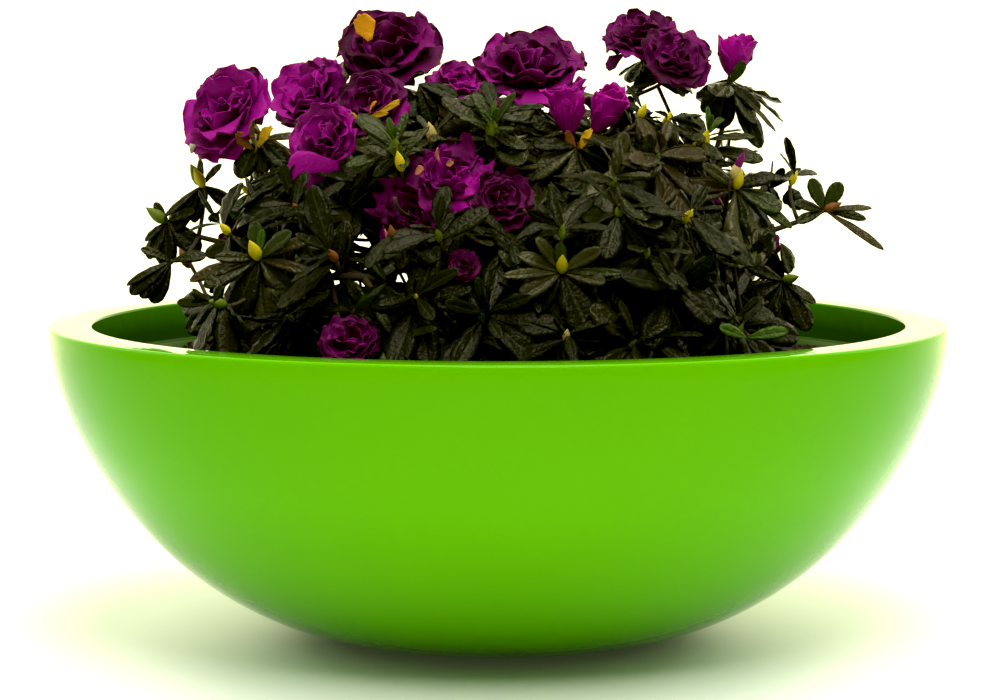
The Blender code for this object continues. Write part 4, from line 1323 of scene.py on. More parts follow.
# Whorls whose leaves are told one by one, as they stand seen from the front: the place, then for each
# leaf its direction in degrees from the right upwards, its length, its slimness and its shade
SHOWN_WHORLS = {
    (-0.138, -0.128, 0.240): (
        (172, 0.026, 0.30, LEAF), (187, 0.042, 0.22, BRONZE), (201, 0.036, 0.34, LEAF),
        (96, 0.022, 0.45, FRESH), (44, 0.027, 0.40, FRESH), (28, 0.036, 0.22, BRONZE),
        (-8, 0.034, 0.22, BRONZE), (-46, 0.032, 0.56, OLD), (-86, 0.036, 0.60, PAINTED_LIT),
        (-118, 0.038, 0.56, OLD), (84, 0.018, 0.30, YOUNG),
    ),
    (0.036, -0.150, 0.234): (
        (150, 0.027, 0.34, PAINTED_LIT), (118, 0.025, 0.34, PAINTED_LIT), (92, 0.017, 0.50, FRESH),
        (38, 0.027, 0.34, PAINTED_LIT), (4, 0.037, 0.16, FRESH), (-8, 0.027, 0.34, PAINTED_LIT), (178, 0.035, 0.20, PAINTED_LIT),
        (206, 0.029, 0.42, PAINTED_LIT), (-62, 0.040, 0.60, OLD), (-128, 0.028, 0.50, OLD),
    ),
    (0.141, -0.070, 0.278): (
        (-78, 0.050, 0.58, PAINTED_LIT), (-58, 0.046, 0.50, OLD), (186, 0.036, 0.34, BRONZE),
        (172, 0.038, 0.28, BRONZE), (-20, 0.030, 0.52, FRESH), (-30, 0.041, 0.18, FRESH),
        (140, 0.026, 0.40, LEAF), (30, 0.024, 0.44, OLD),
    ),
    (0.046, -0.070, 0.302): (
        (-88, 0.034, 0.64, PAINTED_LIT), (204, 0.036, 0.44, PAINTED_LIT), (166, 0.027, 0.40, OLD),
        (-22, 0.038, 0.34, BRONZE), (-4, 0.029, 0.42, OLD), (-48, 0.028, 0.50, OLD),
        (222, 0.028, 0.50, OLD),
    ),
    (0.141, 0.002, 0.338): (
        (-107, 0.028, 0.64, OLD), (-58, 0.044, 0.34, OLD), (-27, 0.025, 0.46, OLD),
        (-38, 0.041, 0.15, BRONZE), (-140, 0.024, 0.46, OLD), (60, 0.018, 0.40, FRESH),
    ),
    (-0.048, -0.030, 0.339): (
        (-38, 0.030, 0.50, BRONZE), (-12, 0.026, 0.44, OLD), (-70, 0.026, 0.50, OLD),
    ),
    (-0.145, -0.034, 0.305): (
        (-85, 0.020, 0.80, LEAF), (16, 0.028, 0.24, BRONZE), (-120, 0.026, 0.60, OLD),
        (-40, 0.024, 0.50, OLD),
    ),
    (0.198, -0.020, 0.262): (
        (13, 0.030, 0.20, BRONZE), (-4, 0.026, 0.26, FRESH), (-28, 0.044, 0.14, BRONZE),
        (62, 0.020, 0.50, FRESH), (112, 0.022, 0.46, FRESH), (160, 0.020, 0.40, LEAF),
        (196, 0.020, 0.36, LEAF),
    ),
    (-0.182, 0.006, 0.276): (
        (213, 0.031, 0.22, LEAF), (228, 0.034, 0.46, OLD), (250, 0.024, 0.44, OLD),
        (100, 0.017, 0.30, FRESH), (60, 0.018, 0.36, LEAF), (-30, 0.024, 0.40, OLD),
    ),
    (-0.198, -0.032, 0.232): (
        (200, 0.031, 0.16, LEAF), (211, 0.032, 0.38, OLD), (222, 0.029, 0.46, OLD), (240, 0.028, 0.50, OLD),
        (150, 0.020, 0.30, LEAF), (20, 0.022, 0.40, LEAF),
    ),
    (0.141, -0.158, 0.197): (
        (18, 0.024, 0.34, YOUNG), (150, 0.018, 0.44, YOUNG),
    ),
    (-0.204, 0.002, 0.254): (
        (214, 0.018, 0.40, OLD), (238, 0.026, 0.46, OLD), (268, 0.028, 0.52, OLD), (-40, 0.028, 0.50, OLD),
        (30, 0.020, 0.40, LEAF), (120, 0.014, 0.40, LEAF),
    ),
    (0.170, -0.056, 0.222): (
        (-60, 0.034, 0.44, OLD), (-84, 0.036, 0.50, OLD), (-118, 0.034, 0.54, OLD),
        (200, 0.032, 0.44, LEAF), (150, 0.026, 0.42, OLD), (-28, 0.024, 0.34, LEAF),
    ),
}
# How far these leaves turn to the front, and which way their upper sides face: outwards, forwards and up
SHOWN_FORWARD = 0.42
FORWARD_SPREAD = (0.6, 1.3)
SHOWN_OUTWARD = 0.4
SHOWN_UP = Vector((0.0, -0.9, 0.6))
SHOWN_SAG = (0.25, 0.60)
SHOWN_ROLL = 0.12
SHOWN_ROOM = 0.046
SHOWN_WAY = Vector((0.0, -1.0, 0.1)).normalized()

leaf_heaps = {name: Heap() for name in HUBS}
leaf_random = random.Random(77)

# Rooms to keep open: those of the flowers, some of them wider, and those of the whorls told leaf by leaf
ROOM_SHARES = {
    (-0.027, -0.104, 0.288): 1.30,
    (-0.052, -0.106, 0.266): 1.36,
    (-0.024, 0.040, 0.338): 1.20,
    (0.041, -0.062, 0.325): 1.25,
    (0.064, -0.056, 0.324): 1.25,
}
flower_rooms = []
for name, form, centre, width, heading, lift in EVERY_BLOOM:
    flower_rooms.append((centre, facing(heading, lift), width * ROOM_SHARES.get(tuple(centre), 1.0)))
whorl_rooms = [(place, SHOWN_WAY, SHOWN_ROOM) for place in SHOWN_WHORLS]


def as_arrays(rooms):
    """The places, ways and widths of some rooms."""
    return tuple(np.array([np.array(room[part]) for room in rooms]) for part in range(3))


FLOWERS_ALONE = as_arrays(flower_rooms)
ALL_ROOMS = as_arrays(flower_rooms + whorl_rooms)
gap_rows = np.array(DAYLIGHT)


def hides_room(points, rooms, view):
    """True where points stand in a room, or before it up to a view given in shares of its width."""
    feet, ways, widths = rooms
    runs = points[:, None, :] - feet[None, :, :]
    ahead = np.einsum("pbk,bk->pb", runs, ways)
    ahead = np.clip(ahead, ROOM_HEART * widths, view * widths)
    beside = np.linalg.norm(runs - ahead[:, :, None] * ways[None, :, :], axis=2)
    return bool((beside < ROOM_RADIUS * widths).any())


def fills_gap(points):
    """True where points would close a gap, as the camera sees it."""
    eye = np.array(camera.location)
    shares = -eye[1] / (points[:, 1] - eye[1])
    seen = eye + (points - eye) * shares[:, None]
    across = seen[:, None, 0] - gap_rows[None, :, 0]
    rise = seen[:, None, 2] - gap_rows[None, :, 1]
    return bool((np.hypot(across, rise) < gap_rows[None, :, 2] + LEAF_MESH).any())


def beyond_sides(points):
    """True where points would widen the crown low at its left or right."""
    left = (points[:, 2] < LEFT_SIDE[0]) & (points[:, 0] < LEFT_SIDE[1])
    right = (points[:, 2] < RIGHT_SIDE[0]) & (points[:, 0] > RIGHT_SIDE[1])
    return bool((left | right).any())


def leaves_on(mass):
    """How many leaves a mass carries so far."""
    return leaf_heaps[mass.name].count // LEAF_POINTS


def add_leaf(kind, mass, centre, axis, turn, lift, length, slimness, sag, droop, shade):
    """Adds one leaf of a whorl, at a turn round its axis, in the first length that fits."""
    out = np.array(axis.orthogonal().normalized())
    axis = np.array(axis)
    radial = out * math.cos(turn) + np.cross(axis, out) * math.sin(turn)
    along = radial * math.cos(lift) + axis * math.sin(lift)
    up = axis * math.cos(lift) - radial * math.sin(lift)
    along = along - np.array((0.0, 0.0, droop))
    along = along / np.linalg.norm(along)
    up = up - along * up.dot(along)
    up = up / np.linalg.norm(up)
    foot = np.array(centre) + along * (TWIG_TIP * 0.5)
    roll = leaf_random.gauss(0.0, FREE_ROLL + SIDE_ROLL * axis[0] ** 2)
    rooms = FLOWERS_ALONE if kind == "bloom" else ALL_ROOMS
    for share in LEAF_TRIES:
        points = leaf_points(foot, along, up, length * share, slimness, sag, roll)
        fits = outside_bowl(points) and not beyond_sides(points) and not fills_gap(points)
        if fits and not hides_room(points, rooms, ROOM_VIEW[kind]):
            leaf_heaps[mass.name].add(points, LEAF_FACES, np.where(MIDRIB, VEIN, shade))
            return


def add_tiers(kind, mass, centre, axis, length, spray_shade):
    """Adds the upper tiers of a whorl, in the spray's shade where a tier has none, or where it stands low, as
    painted shade.
    """
    for tier, (count, lift, share, droop, shade) in enumerate(TIERS[kind]):
        level = Vector(centre) + axis * (TIER_STEP * (tier + 1))
        slims = YOUNG_SLIM if shade == YOUNG or lift > NARROW_LIFT else LEAF_SLIM
        start = leaf_random.uniform(0.0, math.tau)
        for place in range(count):
            turn = start + math.tau * place / count + leaf_random.gauss(0.0, TURN_SPREAD)
            rise = math.radians(lift + leaf_random.gauss(0.0, LIFT_SPREAD))
            size = length * share * leaf_random.uniform(*SIZE_SPREAD)
            sag = leaf_random.uniform(*SAG_SPREAD)
            slim = leaf_random.uniform(*slims)
            # Low tiers take the spray's darker tone instead of their own, as painted shade
            tone = spray_shade if shade is None or level.z < PAINTED_SHADE_LEVEL else shade
            add_leaf(kind, mass, level, axis, turn, rise, size, slim, sag, droop * leaf_random.random(), tone)


def low_side(centre):
    """True low at the crown's left and right, where daylight shows between few leaves."""
    return abs(centre.x) > LOW_SIDE[0] and centre.z < LOW_SIDE[1]


def deal_shade(kind, centre):
    """The shade of one spray: low ones are mostly dealt the dark old tone, as painted shade."""
    table = NAMED_SHADES if kind == "named" else HIGH_SHADES
    if centre.z < PAINTED_SHADE_LEVEL:
        table = LOW_SHADES
    return leaf_random.choices(*zip(*table))[0]


def add_shown_whorl(place, leaves):
    """Adds the leaves of a whorl that is told leaf by leaf, each a little towards the front."""
    heap = leaf_heaps[nearest_mass(Vector(place))]
    outward = (Vector(place) - CROWN_CENTRE).normalized()
    for direction, length, slimness, shade in leaves:
        turn = math.radians(direction)
        forward = -SHOWN_FORWARD * leaf_random.uniform(*FORWARD_SPREAD)
        along = Vector((math.cos(turn), forward, math.sin(turn))).normalized()
        up = outward * SHOWN_OUTWARD + SHOWN_UP
        up = (up - along * up.dot(along)).normalized()
        sag = leaf_random.uniform(*SHOWN_SAG)
        roll = leaf_random.gauss(0.0, SHOWN_ROLL)
        frame_of_leaf = (np.array(place), np.array(along), np.array(up))
        for share in LEAF_TRIES:
            points = leaf_points(*frame_of_leaf, length * share, slimness, sag, roll)
            if outside_bowl(points):
                heap.add(points, LEAF_FACES, np.where(MIDRIB, VEIN, shade))
                break


# %% Whorls of the solids
FEWEST_LEAVES = 5
bare_ends = []
for kind, mass, centre, axis, length, count, lifts in sprays:
    before = leaves_on(mass)
    start = mass.random.uniform(0.0, math.tau)
    shade = deal_shade(kind, centre)
    shown = tuple(round(value, 3) for value in centre) in SHOWN_WHORLS
    for place in range(count):
        lift = math.radians(lifts[0] if place % 2 else lifts[1])
        longest = length * mass.random.uniform(*LEAF_SPREAD)
        turn = start + math.tau * place / count
        slimness = leaf_random.uniform(*LEAF_SLIM)
        if not shown:
            add_leaf(kind, mass, centre, axis, turn, lift, longest, slimness, MAIN_SAG, 0.0, shade)
    if not shown and (kind != "shoot" or not low_side(centre)):
        add_tiers(kind, mass, centre, axis, length, shade)
    if leaves_on(mass) - before < FEWEST_LEAVES:
        bare_ends.append((mass, centre, axis))
for mass, centre, axis in fine:
    before = leaves_on(mass)
    if not low_side(centre) and (abs(centre.x) <= OPEN_SIDE or leaf_random.random() >= SIDE_GAPS):
        add_tiers("fine", mass, centre, axis, FINE_LENGTH, deal_shade("fine", centre))
    if leaves_on(mass) - before < FEWEST_LEAVES:
        bare_ends.append((mass, centre, axis))
for place, leaves in SHOWN_WHORLS.items():
    add_shown_whorl(place, leaves)

# %% Leaves along the twigs
# On each twig: how many leaves, where on its outer half, how steep in degrees, how long, and their droop
TWIG_LEAVES = 2
TWIG_LEAF_PLACES = (0.45, 0.90)
TWIG_LEAF_LIFTS = (5.0, 40.0)
TWIG_LEAF_SIZES = (0.5, 0.8)
TWIG_LEAF_DROOP = 0.3
# The far half of the crown starts at this depth, and its bare twig ends are dealt leaves of these lengths
FAR_HALF = 0.0
FAR_LENGTHS = (0.044, 0.032, 0.022)

for mass in masses.values():
    for path, radii in mass.twigs:
        for number in range(TWIG_LEAVES):
            place = path[1].lerp(path[2], leaf_random.uniform(*TWIG_LEAF_PLACES))
            way = way_at(path, 1)
            turn = leaf_random.uniform(0.0, math.tau)
            rise = math.radians(leaf_random.uniform(*TWIG_LEAF_LIFTS))
            size = LEAF_LENGTH * leaf_random.uniform(*TWIG_LEAF_SIZES)
            slim = leaf_random.uniform(*LEAF_SLIM)
            shade = deal_shade("fine", place)
            add_leaf("fine", mass, place, way, turn, rise, size, slim, MAIN_SAG, TWIG_LEAF_DROOP, shade)
for length in FAR_LENGTHS:
    for mass, centre, axis in bare_ends:
        if centre.y > FAR_HALF:
            add_tiers("fine", mass, centre, axis, length, deal_shade("fine", centre))
print("leaves:", sum(leaves_on(mass) for mass in masses.values()))
for name, heap in leaf_heaps.items():
    heap.make("leaves_" + name, leaf_finishes, ["foliage_" + name], "foliage")

# %% [markdown]
# ## Twigs
#
# New azalea shoots are green to red-brown and hairy, older ones grey-brown. Each line that grew becomes a
# thin tapered tube of six sides: enough, as a twig is a few millimetres thick and leaves cover most of it.

# %% Twigs
TUBE_SIDES = 6
TUBE_STEPS = 6
TWIG_GRAIN = 0.0012
TWIG_GRAIN_DEPTH = 0.0003
# A twig is wider where it leaves another, and its bark is old where its tip is thicker than a new shoot's
TWIG_FOOT = 1.15
OLD_TIP = FINE_TIP * 1.2


def curve_points(path, steps):
    """A smooth line through a bent path's three points, as an array."""
    start, middle, end = (np.array(point) for point in (path[0], path[1], path[-1]))
    pull = middle * 2 - (start + end) / 2
    t = np.linspace(0.0, 1.0, steps + 1)[:, None]
    return start * (1 - t) ** 2 + pull * (2 * t * (1 - t)) + end * t ** 2


def tube(line, radii, sides):
    """The points and triangles of a closed tube along a line."""
    ways = np.gradient(line, axis=0)
    ways = ways / np.linalg.norm(ways, axis=1)[:, None]
    across = ways[len(ways) // 2][[1, 2, 0]] + 0.01
    out = np.cross(ways, across)
    out = out / np.linalg.norm(out, axis=1)[:, None]
    over = np.cross(ways, out)
    turns = np.linspace(0.0, math.tau, sides, endpoint=False)[None, :, None]
    circles = out[:, None, :] * np.cos(turns) + over[:, None, :] * np.sin(turns)
    rings = line[:, None, :] + radii[:, None, None] * circles
    points = np.concatenate([rings.reshape(-1, 3), line[:1], line[-1:]])
    first, last = sides * len(line), sides * len(line) + 1
    faces = []
    for side in range(sides):
        after = (side + 1) % sides
        for ring in range(len(line) - 1):
            a, b = ring * sides + side, ring * sides + after
            faces += [(a, b, b + sides), (a, b + sides, a + sides)]
        top = (len(line) - 1) * sides
        faces += [(first, after, side), (last, top + side, top + after)]
    return points, np.array(faces)


twig_heap = Heap()
for mass in masses.values():
    for path, radii in mass.twigs:
        line = curve_points(path, TUBE_STEPS)
        widths = np.linspace(radii[0], radii[-1], TUBE_STEPS + 1)
        widths[0] *= TWIG_FOOT
        twig_heap.add(*tube(line, widths, TUBE_SIDES), 0 if radii[-1] > OLD_TIP else 1)
twig_finishes = [
    Finish("old twig", base_color=(0.060, 0.042, 0.026), roughness=0.8, specular_ior_level=0.3),
    Finish("new twig", base_color=(0.070, 0.050, 0.018), roughness=0.7, specular_ior_level=0.3),
]
for finish in twig_finishes:
    finish.relief(finish.noise(TWIG_GRAIN, 3.0), TWIG_GRAIN_DEPTH)
twig_heap.make("twigs", twig_finishes, ["foliage_" + name for name in HUBS], "foliage")

# %% [markdown]
# ## Flowers
#
# The flowers are double: rounds of broad petals, each round turned against the one below, with smaller and
# more crumpled ones inside, where a single flower has its stamens. Each petal is a thin closed sheet bent
# along an arc in the plane of its flower's axis, cupped across, and frilled more and more towards its margin.
# Half-open flowers wrap upright petals round each other, and faded ones droop and crumple. Each flower has a
# tone, a mix of shades that its petals are dealt from, partly its own colour and partly painted light and
# shade: brighter where the flower stands lit, darker where it stands in shade. The foot of an open petal is
# painted a shade darker, as painted shade, since it lies deep in shade.

# %% A petal
PETAL_PLACES = np.array((0.0, 0.15, 0.30, 0.44, 0.57, 0.69, 0.80, 0.89, 0.96, 1.0))
PETAL_OUTLINE = np.array((0.22, 0.40, 0.60, 0.78, 0.91, 0.98, 1.0, 0.97, 0.91, 0.82))
PETAL_ROUNDNESS = 0.42
FINE_FRILL = 0.80
SCALLOP = 0.035
PETAL_ROWS = len(PETAL_PLACES)
PETAL_COLUMNS = 13
PETAL_THICKNESS = 0.00045


def petal_faces():
    """The triangles of a petal: inner face, outer face and the margin between them."""
    grid = PETAL_ROWS * PETAL_COLUMNS
    faces = []
    for row in range(PETAL_ROWS - 1):
        for column in range(PETAL_COLUMNS - 1):
            a = row * PETAL_COLUMNS + column
            b, c, d = a + 1, a + PETAL_COLUMNS + 1, a + PETAL_COLUMNS
            faces += [(a, d, c), (a, c, b), (a + grid, c + grid, d + grid), (a + grid, b + grid, c + grid)]
    top = (PETAL_ROWS - 1) * PETAL_COLUMNS
    margin = list(range(PETAL_COLUMNS))
    margin += [row * PETAL_COLUMNS + PETAL_COLUMNS - 1 for row in range(1, PETAL_ROWS)]
    margin += [top + column for column in range(PETAL_COLUMNS - 2, -1, -1)]
    margin += [row * PETAL_COLUMNS for row in range(PETAL_ROWS - 2, 0, -1)]
    for a, b in zip(margin, margin[1:] + margin[:1]):
        faces += [(a, b, b + grid), (a, b + grid, a + grid)]
    return np.array(faces)


PETAL_FACES = petal_faces()
# Waves round the margin, and the finer ripples on them
WAVES = (2.2, 3.6)
RIPPLES = (7.0, 10.0)
# The scallops of the margin are a little closer together than its ripples
EXTRA_SCALLOPS = 2.0
# The angle round the margin is measured from this place along the middle, and half a width counts this much
MARGIN_HEART = 0.38
MARGIN_SIDE = 0.62
# Powers: how soon a petal bends, then how close to its sides, end and foot the margin starts, how close to
# the margin its waves, ripples and scallops start, and how its length is scalloped in the tip's half
BEND_POWER = 0.8
SIDE_POWER = 2.4
END_POWER = 3.2
FOOT_POWER = 0.6
WAVE_POWER = 1.6
RIPPLE_POWER = 3.0
SCALLOP_POWER = 2.0
TIP_POWER = 1.3
TIP_HALF = 0.50
# How nearly round the end is, 1 being a full ellipse, and how much a cupped petal's sides draw in
CORNER_SHARE = 0.96
DRAWN_IN = 0.25


def petal_points(turn, foot, length, width, lean, cup, frill, rng):
    """The points of a petal in its flower's own space, whose axis is Z.

    foot is its distance from the axis and its level, lean the angle from the axis at foot and tip, cup
    how far its sides rise, and frill how far its margin waves, both as shares of its half width.
    """
    u = PETAL_PLACES
    v = np.linspace(-1.0, 1.0, PETAL_COLUMNS)
    angle = lean[0] + (lean[1] - lean[0]) * u ** BEND_POWER
    step = np.diff(u) * length
    middle = (angle[1:] + angle[:-1]) / 2
    reach = foot[0] + np.concatenate([[0.0], np.cumsum(np.sin(middle) * step)])
    rise = foot[1] + np.concatenate([[0.0], np.cumsum(np.cos(middle) * step)])
    half = width / 2 * PETAL_OUTLINE
    phase, other = rng.uniform(0.0, math.tau), rng.uniform(0.0, math.tau)
    waves, ripples = rng.uniform(*WAVES), rng.uniform(*RIPPLES)
    round_margin = np.arctan2(v[None, :] * MARGIN_SIDE, u[:, None] - MARGIN_HEART)
    from_sides = 1.0 - np.abs(v)[None, :] ** SIDE_POWER
    from_end = 1.0 - u[:, None] ** END_POWER
    margin = (1.0 - from_sides * from_end) * u[:, None] ** FOOT_POWER
    tip = np.clip((u[:, None] - TIP_HALF) / TIP_HALF, 0.0, 1.0) ** TIP_POWER
    ruffle = margin ** WAVE_POWER * np.sin(round_margin * waves + phase)
    ruffle = ruffle + FINE_FRILL * margin ** RIPPLE_POWER * np.sin(round_margin * ripples + other)
    lift = half[:, None] * cup * v[None, :] ** 2 + width / 2 * frill * ruffle
    rounding = 1.0 - np.sqrt(1.0 - CORNER_SHARE * v[None, :] ** 2)
    scallop = SCALLOP * margin ** SCALLOP_POWER * np.sin(round_margin * (ripples + EXTRA_SCALLOPS) + phase)
    lobe = length * (scallop * tip - PETAL_ROUNDNESS * rounding * u[:, None] ** 2)
    radius = reach[:, None] - np.cos(angle)[:, None] * lift + np.sin(angle)[:, None] * lobe
    level = rise[:, None] + np.sin(angle)[:, None] * lift + np.cos(angle)[:, None] * lobe
    drawn_in = DRAWN_IN * cup * v[None, :] ** 2
    across = half[:, None] * v[None, :] * (1.0 - drawn_in + 2.0 * scallop)
    radial = np.array((math.cos(turn), math.sin(turn), 0.0))
    sideways = np.array((-math.sin(turn), math.cos(turn), 0.0))
    up = np.array((0.0, 0.0, 1.0))
    sheet = radius[:, :, None] * radial + across[:, :, None] * sideways + level[:, :, None] * up
    along = np.gradient(sheet, axis=0)
    beside = np.gradient(sheet, axis=1)
    normal = np.cross(along, beside)
    normal = normal / np.linalg.norm(normal, axis=2)[:, :, None]
    inner = sheet + normal * (PETAL_THICKNESS / 2)
    outer = sheet - normal * (PETAL_THICKNESS / 2)
    return np.concatenate([inner.reshape(-1, 3), outer.reshape(-1, 3)])


# %% Shades of the flowers
PETAL_SHADES = (
    ("petal", (0.165, 0.0008, 0.110), 0.60),
    ("light petal", (0.300, 0.0018, 0.215), 0.60),
    ("deep petal", (0.095, 0.0006, 0.060), 0.60),
    ("wine petal", (0.050, 0.0006, 0.024), 0.60),
    ("withered petal", (0.790, 0.340, 0.015), 0.75),
    ("peach petal", (0.560, 0.200, 0.110), 0.75),
    ("gold bract", (0.600, 0.340, 0.015), 0.70),
    ("calyx", (0.160, 0.120, 0.020), 0.60),
    ("brown calyx", (0.210, 0.075, 0.018), 0.65),
    ("cream bract", (0.550, 0.500, 0.300), 0.70),
    ("vivid petal", (0.420, 0.0030, 0.290), 0.60),
)
PETAL, LIGHT, DEEP, WINE, WITHERED, PEACH, GOLD, CALYX, BROWN, CREAM, VIVID = range(len(PETAL_SHADES))
CREASE = 0.0026
CREASE_DEPTH = 0.0006
petal_finishes = []
for name, colour, roughness in PETAL_SHADES:
    finish = Finish(name, base_color=colour, roughness=roughness, specular_ior_level=0.12)
    finish.relief(finish.noise(CREASE, 2.0), CREASE_DEPTH)
    petal_finishes.append(finish)
# Rounds of each form, from the outermost: petals, length and width as shares of the flower's width, lean at
# foot and tip in degrees, cup, frill
PETAL_ROUNDS = {
    "open": (
        (6, 0.56, 0.78, (20.0, 100.0), 0.05, 0.15),
        (5, 0.54, 0.72, (14.0, 72.0), 0.10, 0.18),
        (5, 0.50, 0.60, (6.0, 46.0), 0.15, 0.24),
        (4, 0.44, 0.50, (0.0, 22.0), 0.15, 0.32),
    ),
    "half": (
        (5, 1.08, 0.84, (13.0, 15.0), 0.60, 0.18),
        (4, 1.14, 0.76, (8.0, 8.0), 0.75, 0.20),
        (3, 1.04, 0.52, (3.0, 2.0), 0.80, 0.24),
    ),
    "opening": (
        (6, 0.92, 0.74, (50.0, -14.0), 0.45, 0.20),
        (5, 0.86, 0.66, (34.0, -8.0), 0.50, 0.26),
        (4, 0.78, 0.50, (14.0, 0.0), 0.55, 0.32),
    ),
    "faded": (
        (7, 0.58, 0.54, (24.0, 112.0), -0.05, 0.40),
        (6, 0.48, 0.48, (18.0, 80.0), 0.15, 0.46),
        (5, 0.40, 0.40, (10.0, 48.0), 0.25, 0.52),
        (4, 0.32, 0.30, (0.0, 20.0), 0.30, 0.56),
    ),
}
# The foot of a petal is painted a shade darker than the rest, as painted shade, other than in upright forms:
# the next shade for each
UPRIGHT = ("half", "opening")
DARKER = np.array((DEEP, PETAL, WINE, WINE, WITHERED, PEACH, GOLD, CALYX, BROWN, CREAM, LIGHT))
FOOT_ROWS = 3
PETAL_FOOT = (PETAL_FACES % (PETAL_ROWS * PETAL_COLUMNS)).max(axis=1) < (FOOT_ROWS + 1) * PETAL_COLUMNS
# Where the petals of each form start, from the flower's centre along its axis, as a share of its width
PETAL_LEVELS = {"open": -0.26, "half": -0.60, "opening": -0.36, "faded": -0.26}
# The looks of single flowers that differ from their forms: form, share of the width, tone and the heading
# and lift in degrees of the way they face, by place. The tone is partly the flower's own colour and partly
# painted light and shade: lit flowers brighter, shaded ones darker
FLOWER_LOOKS = {
    (-0.166, -0.020, 0.322): ("open", 1.02, "bright", 232, 26),
    (-0.119, 0.030, 0.332): ("open", 1.00, "bright", 230, 35),
    (-0.066, 0.004, 0.362): ("open", 0.96, "deep", 268, 48),
    (-0.078, -0.040, 0.328): ("open", 1.00, "dark", 240, 35),
    (-0.102, -0.072, 0.308): ("open", 0.94, "bright", 245, 20),
    (-0.024, 0.040, 0.338): ("open", 1.10, "bright", 290, 55),
    (0.145, 0.010, 0.354): ("opening", 1.00, "vivid", 300, 72),
    (0.020, -0.008, 0.350): ("open", 1.04, "mid", 265, 60),
    (0.041, -0.062, 0.325): ("half", 1.10, "vivid", 250, 78),
    (0.064, -0.056, 0.324): ("half", 1.10, "vivid", 330, 60),
    (0.086, 0.012, 0.369): ("open", 1.00, "dark", 250, 60),
    (0.108, -0.014, 0.355): ("open", 1.00, "dark", 290, 40),
    (-0.027, -0.104, 0.288): ("faded", 1.20, "mid", 275, 40),
    (-0.052, -0.106, 0.266): ("faded", 1.24, "dark", 240, 15),
    (0.002, -0.114, 0.274): ("open", 0.94, "deep", 280, 30),
    (-0.085, -0.158, 0.196): ("open", 0.86, "dark", 260, 50),
    (-0.020, -0.150, 0.238): ("open", 0.90, "deep", 270, 20),
}
SEPALS = 7
SEPAL_LEAN = (28.0, 62.0)
SEPAL_LENGTH = (0.16, 0.26)
SEPAL_SLIM = 0.30
SEPAL_SAG = -0.5
# Chance in a petal's turn, length, lean in degrees at its tip and per round, and frill
TURN_CHANCE = 0.16
LENGTH_CHANCE = (0.84, 1.10)
LEAN_CHANCE = 7.0
ROUND_LEAN_CHANCE = 3.0
FOOT_LEAN_SHARE = 0.3
FRILL_CHANCE = (0.7, 1.3)
# How far from the axis the innermost round starts, and how much farther out each round below it, as shares
# of the flower's width. Rounds count from the outermost, 0
INNER_ROOT = 0.045
ROOT_STEP = 0.012
INNER_ROUND = 3
CALYX_CHANCE = 0.5
# The flower's tube behind the petals: levels along the axis, then widths, as shares of the flower's width
TUBE_LEVELS = (-0.34, -0.26, -0.17)
TUBE_WIDTHS = (0.055, 0.085)
TUBE_NECK = 0.0022
FLOWER_TUBE_SIDES = 10


# %% Flowers
def add_flower(heap, form, centre, axis, foot, width, turn, rng, shades):
    """Adds a flower: its rounds of petals, and a short tube with sepals from its twig's end, the foot."""
    basis = np.array(axis.to_track_quat("Z", "Y").to_matrix())
    place = np.array(centre)
    for level, (count, length, wide, lean, cup, frill) in enumerate(PETAL_ROUNDS[form]):
        for number in range(count):
            angle = turn + math.tau * (number + 0.5 * (level % 2)) / count + rng.gauss(0.0, TURN_CHANCE)
            size = width * length * rng.uniform(*LENGTH_CHANCE)
            tilt = rng.gauss(0.0, LEAN_CHANCE + ROUND_LEAN_CHANCE * level)
            leans = (math.radians(lean[0] + tilt * FOOT_LEAN_SHARE), math.radians(lean[1] + tilt))
            root = (width * (INNER_ROOT + ROOT_STEP * (INNER_ROUND - level)), width * PETAL_LEVELS[form])
            ruffle = frill * rng.uniform(*FRILL_CHANCE)
            points = petal_points(angle, root, size, width * wide, leans, cup, ruffle, rng)
            shade = rng.choices(*zip(*shades))[0]
            # The petal's foot gets the darker shade, as painted shade
            foot_shade = shade if form in UPRIGHT else DARKER[shade]
            heap.add(points @ basis.T + place, PETAL_FACES, np.where(PETAL_FOOT, foot_shade, shade))
    line = np.concatenate([np.array([foot]), place + np.outer(TUBE_LEVELS, np.array(axis)) * width])
    widths = np.array((TWIG_TIP, TUBE_NECK, TUBE_WIDTHS[0] * width, TUBE_WIDTHS[1] * width))
    shade = CALYX if rng.random() < CALYX_CHANCE else BROWN
    heap.add(*tube(line, widths, FLOWER_TUBE_SIDES), shade)
    for number in range(SEPALS):
        angle = turn + math.tau * number / SEPALS
        radial = basis @ np.array((math.cos(angle), math.sin(angle), 0.0))
        lean = math.radians(rng.uniform(*SEPAL_LEAN))
        along = basis[:, 2] * math.cos(lean) + radial * math.sin(lean)
        up = basis[:, 2] * math.sin(lean) - radial * math.cos(lean)
        root = line[1] + radial * widths[1]
        length = width * rng.uniform(*SEPAL_LENGTH)
        points = leaf_points(root, along, up, length, SEPAL_SLIM, SEPAL_SAG, 0.0)
        heap.add(points, LEAF_FACES, shade if number % 2 else CALYX)


bloom_heaps = {row[0]: Heap() for row in EVERY_BLOOM}
bloom_random = random.Random(19)
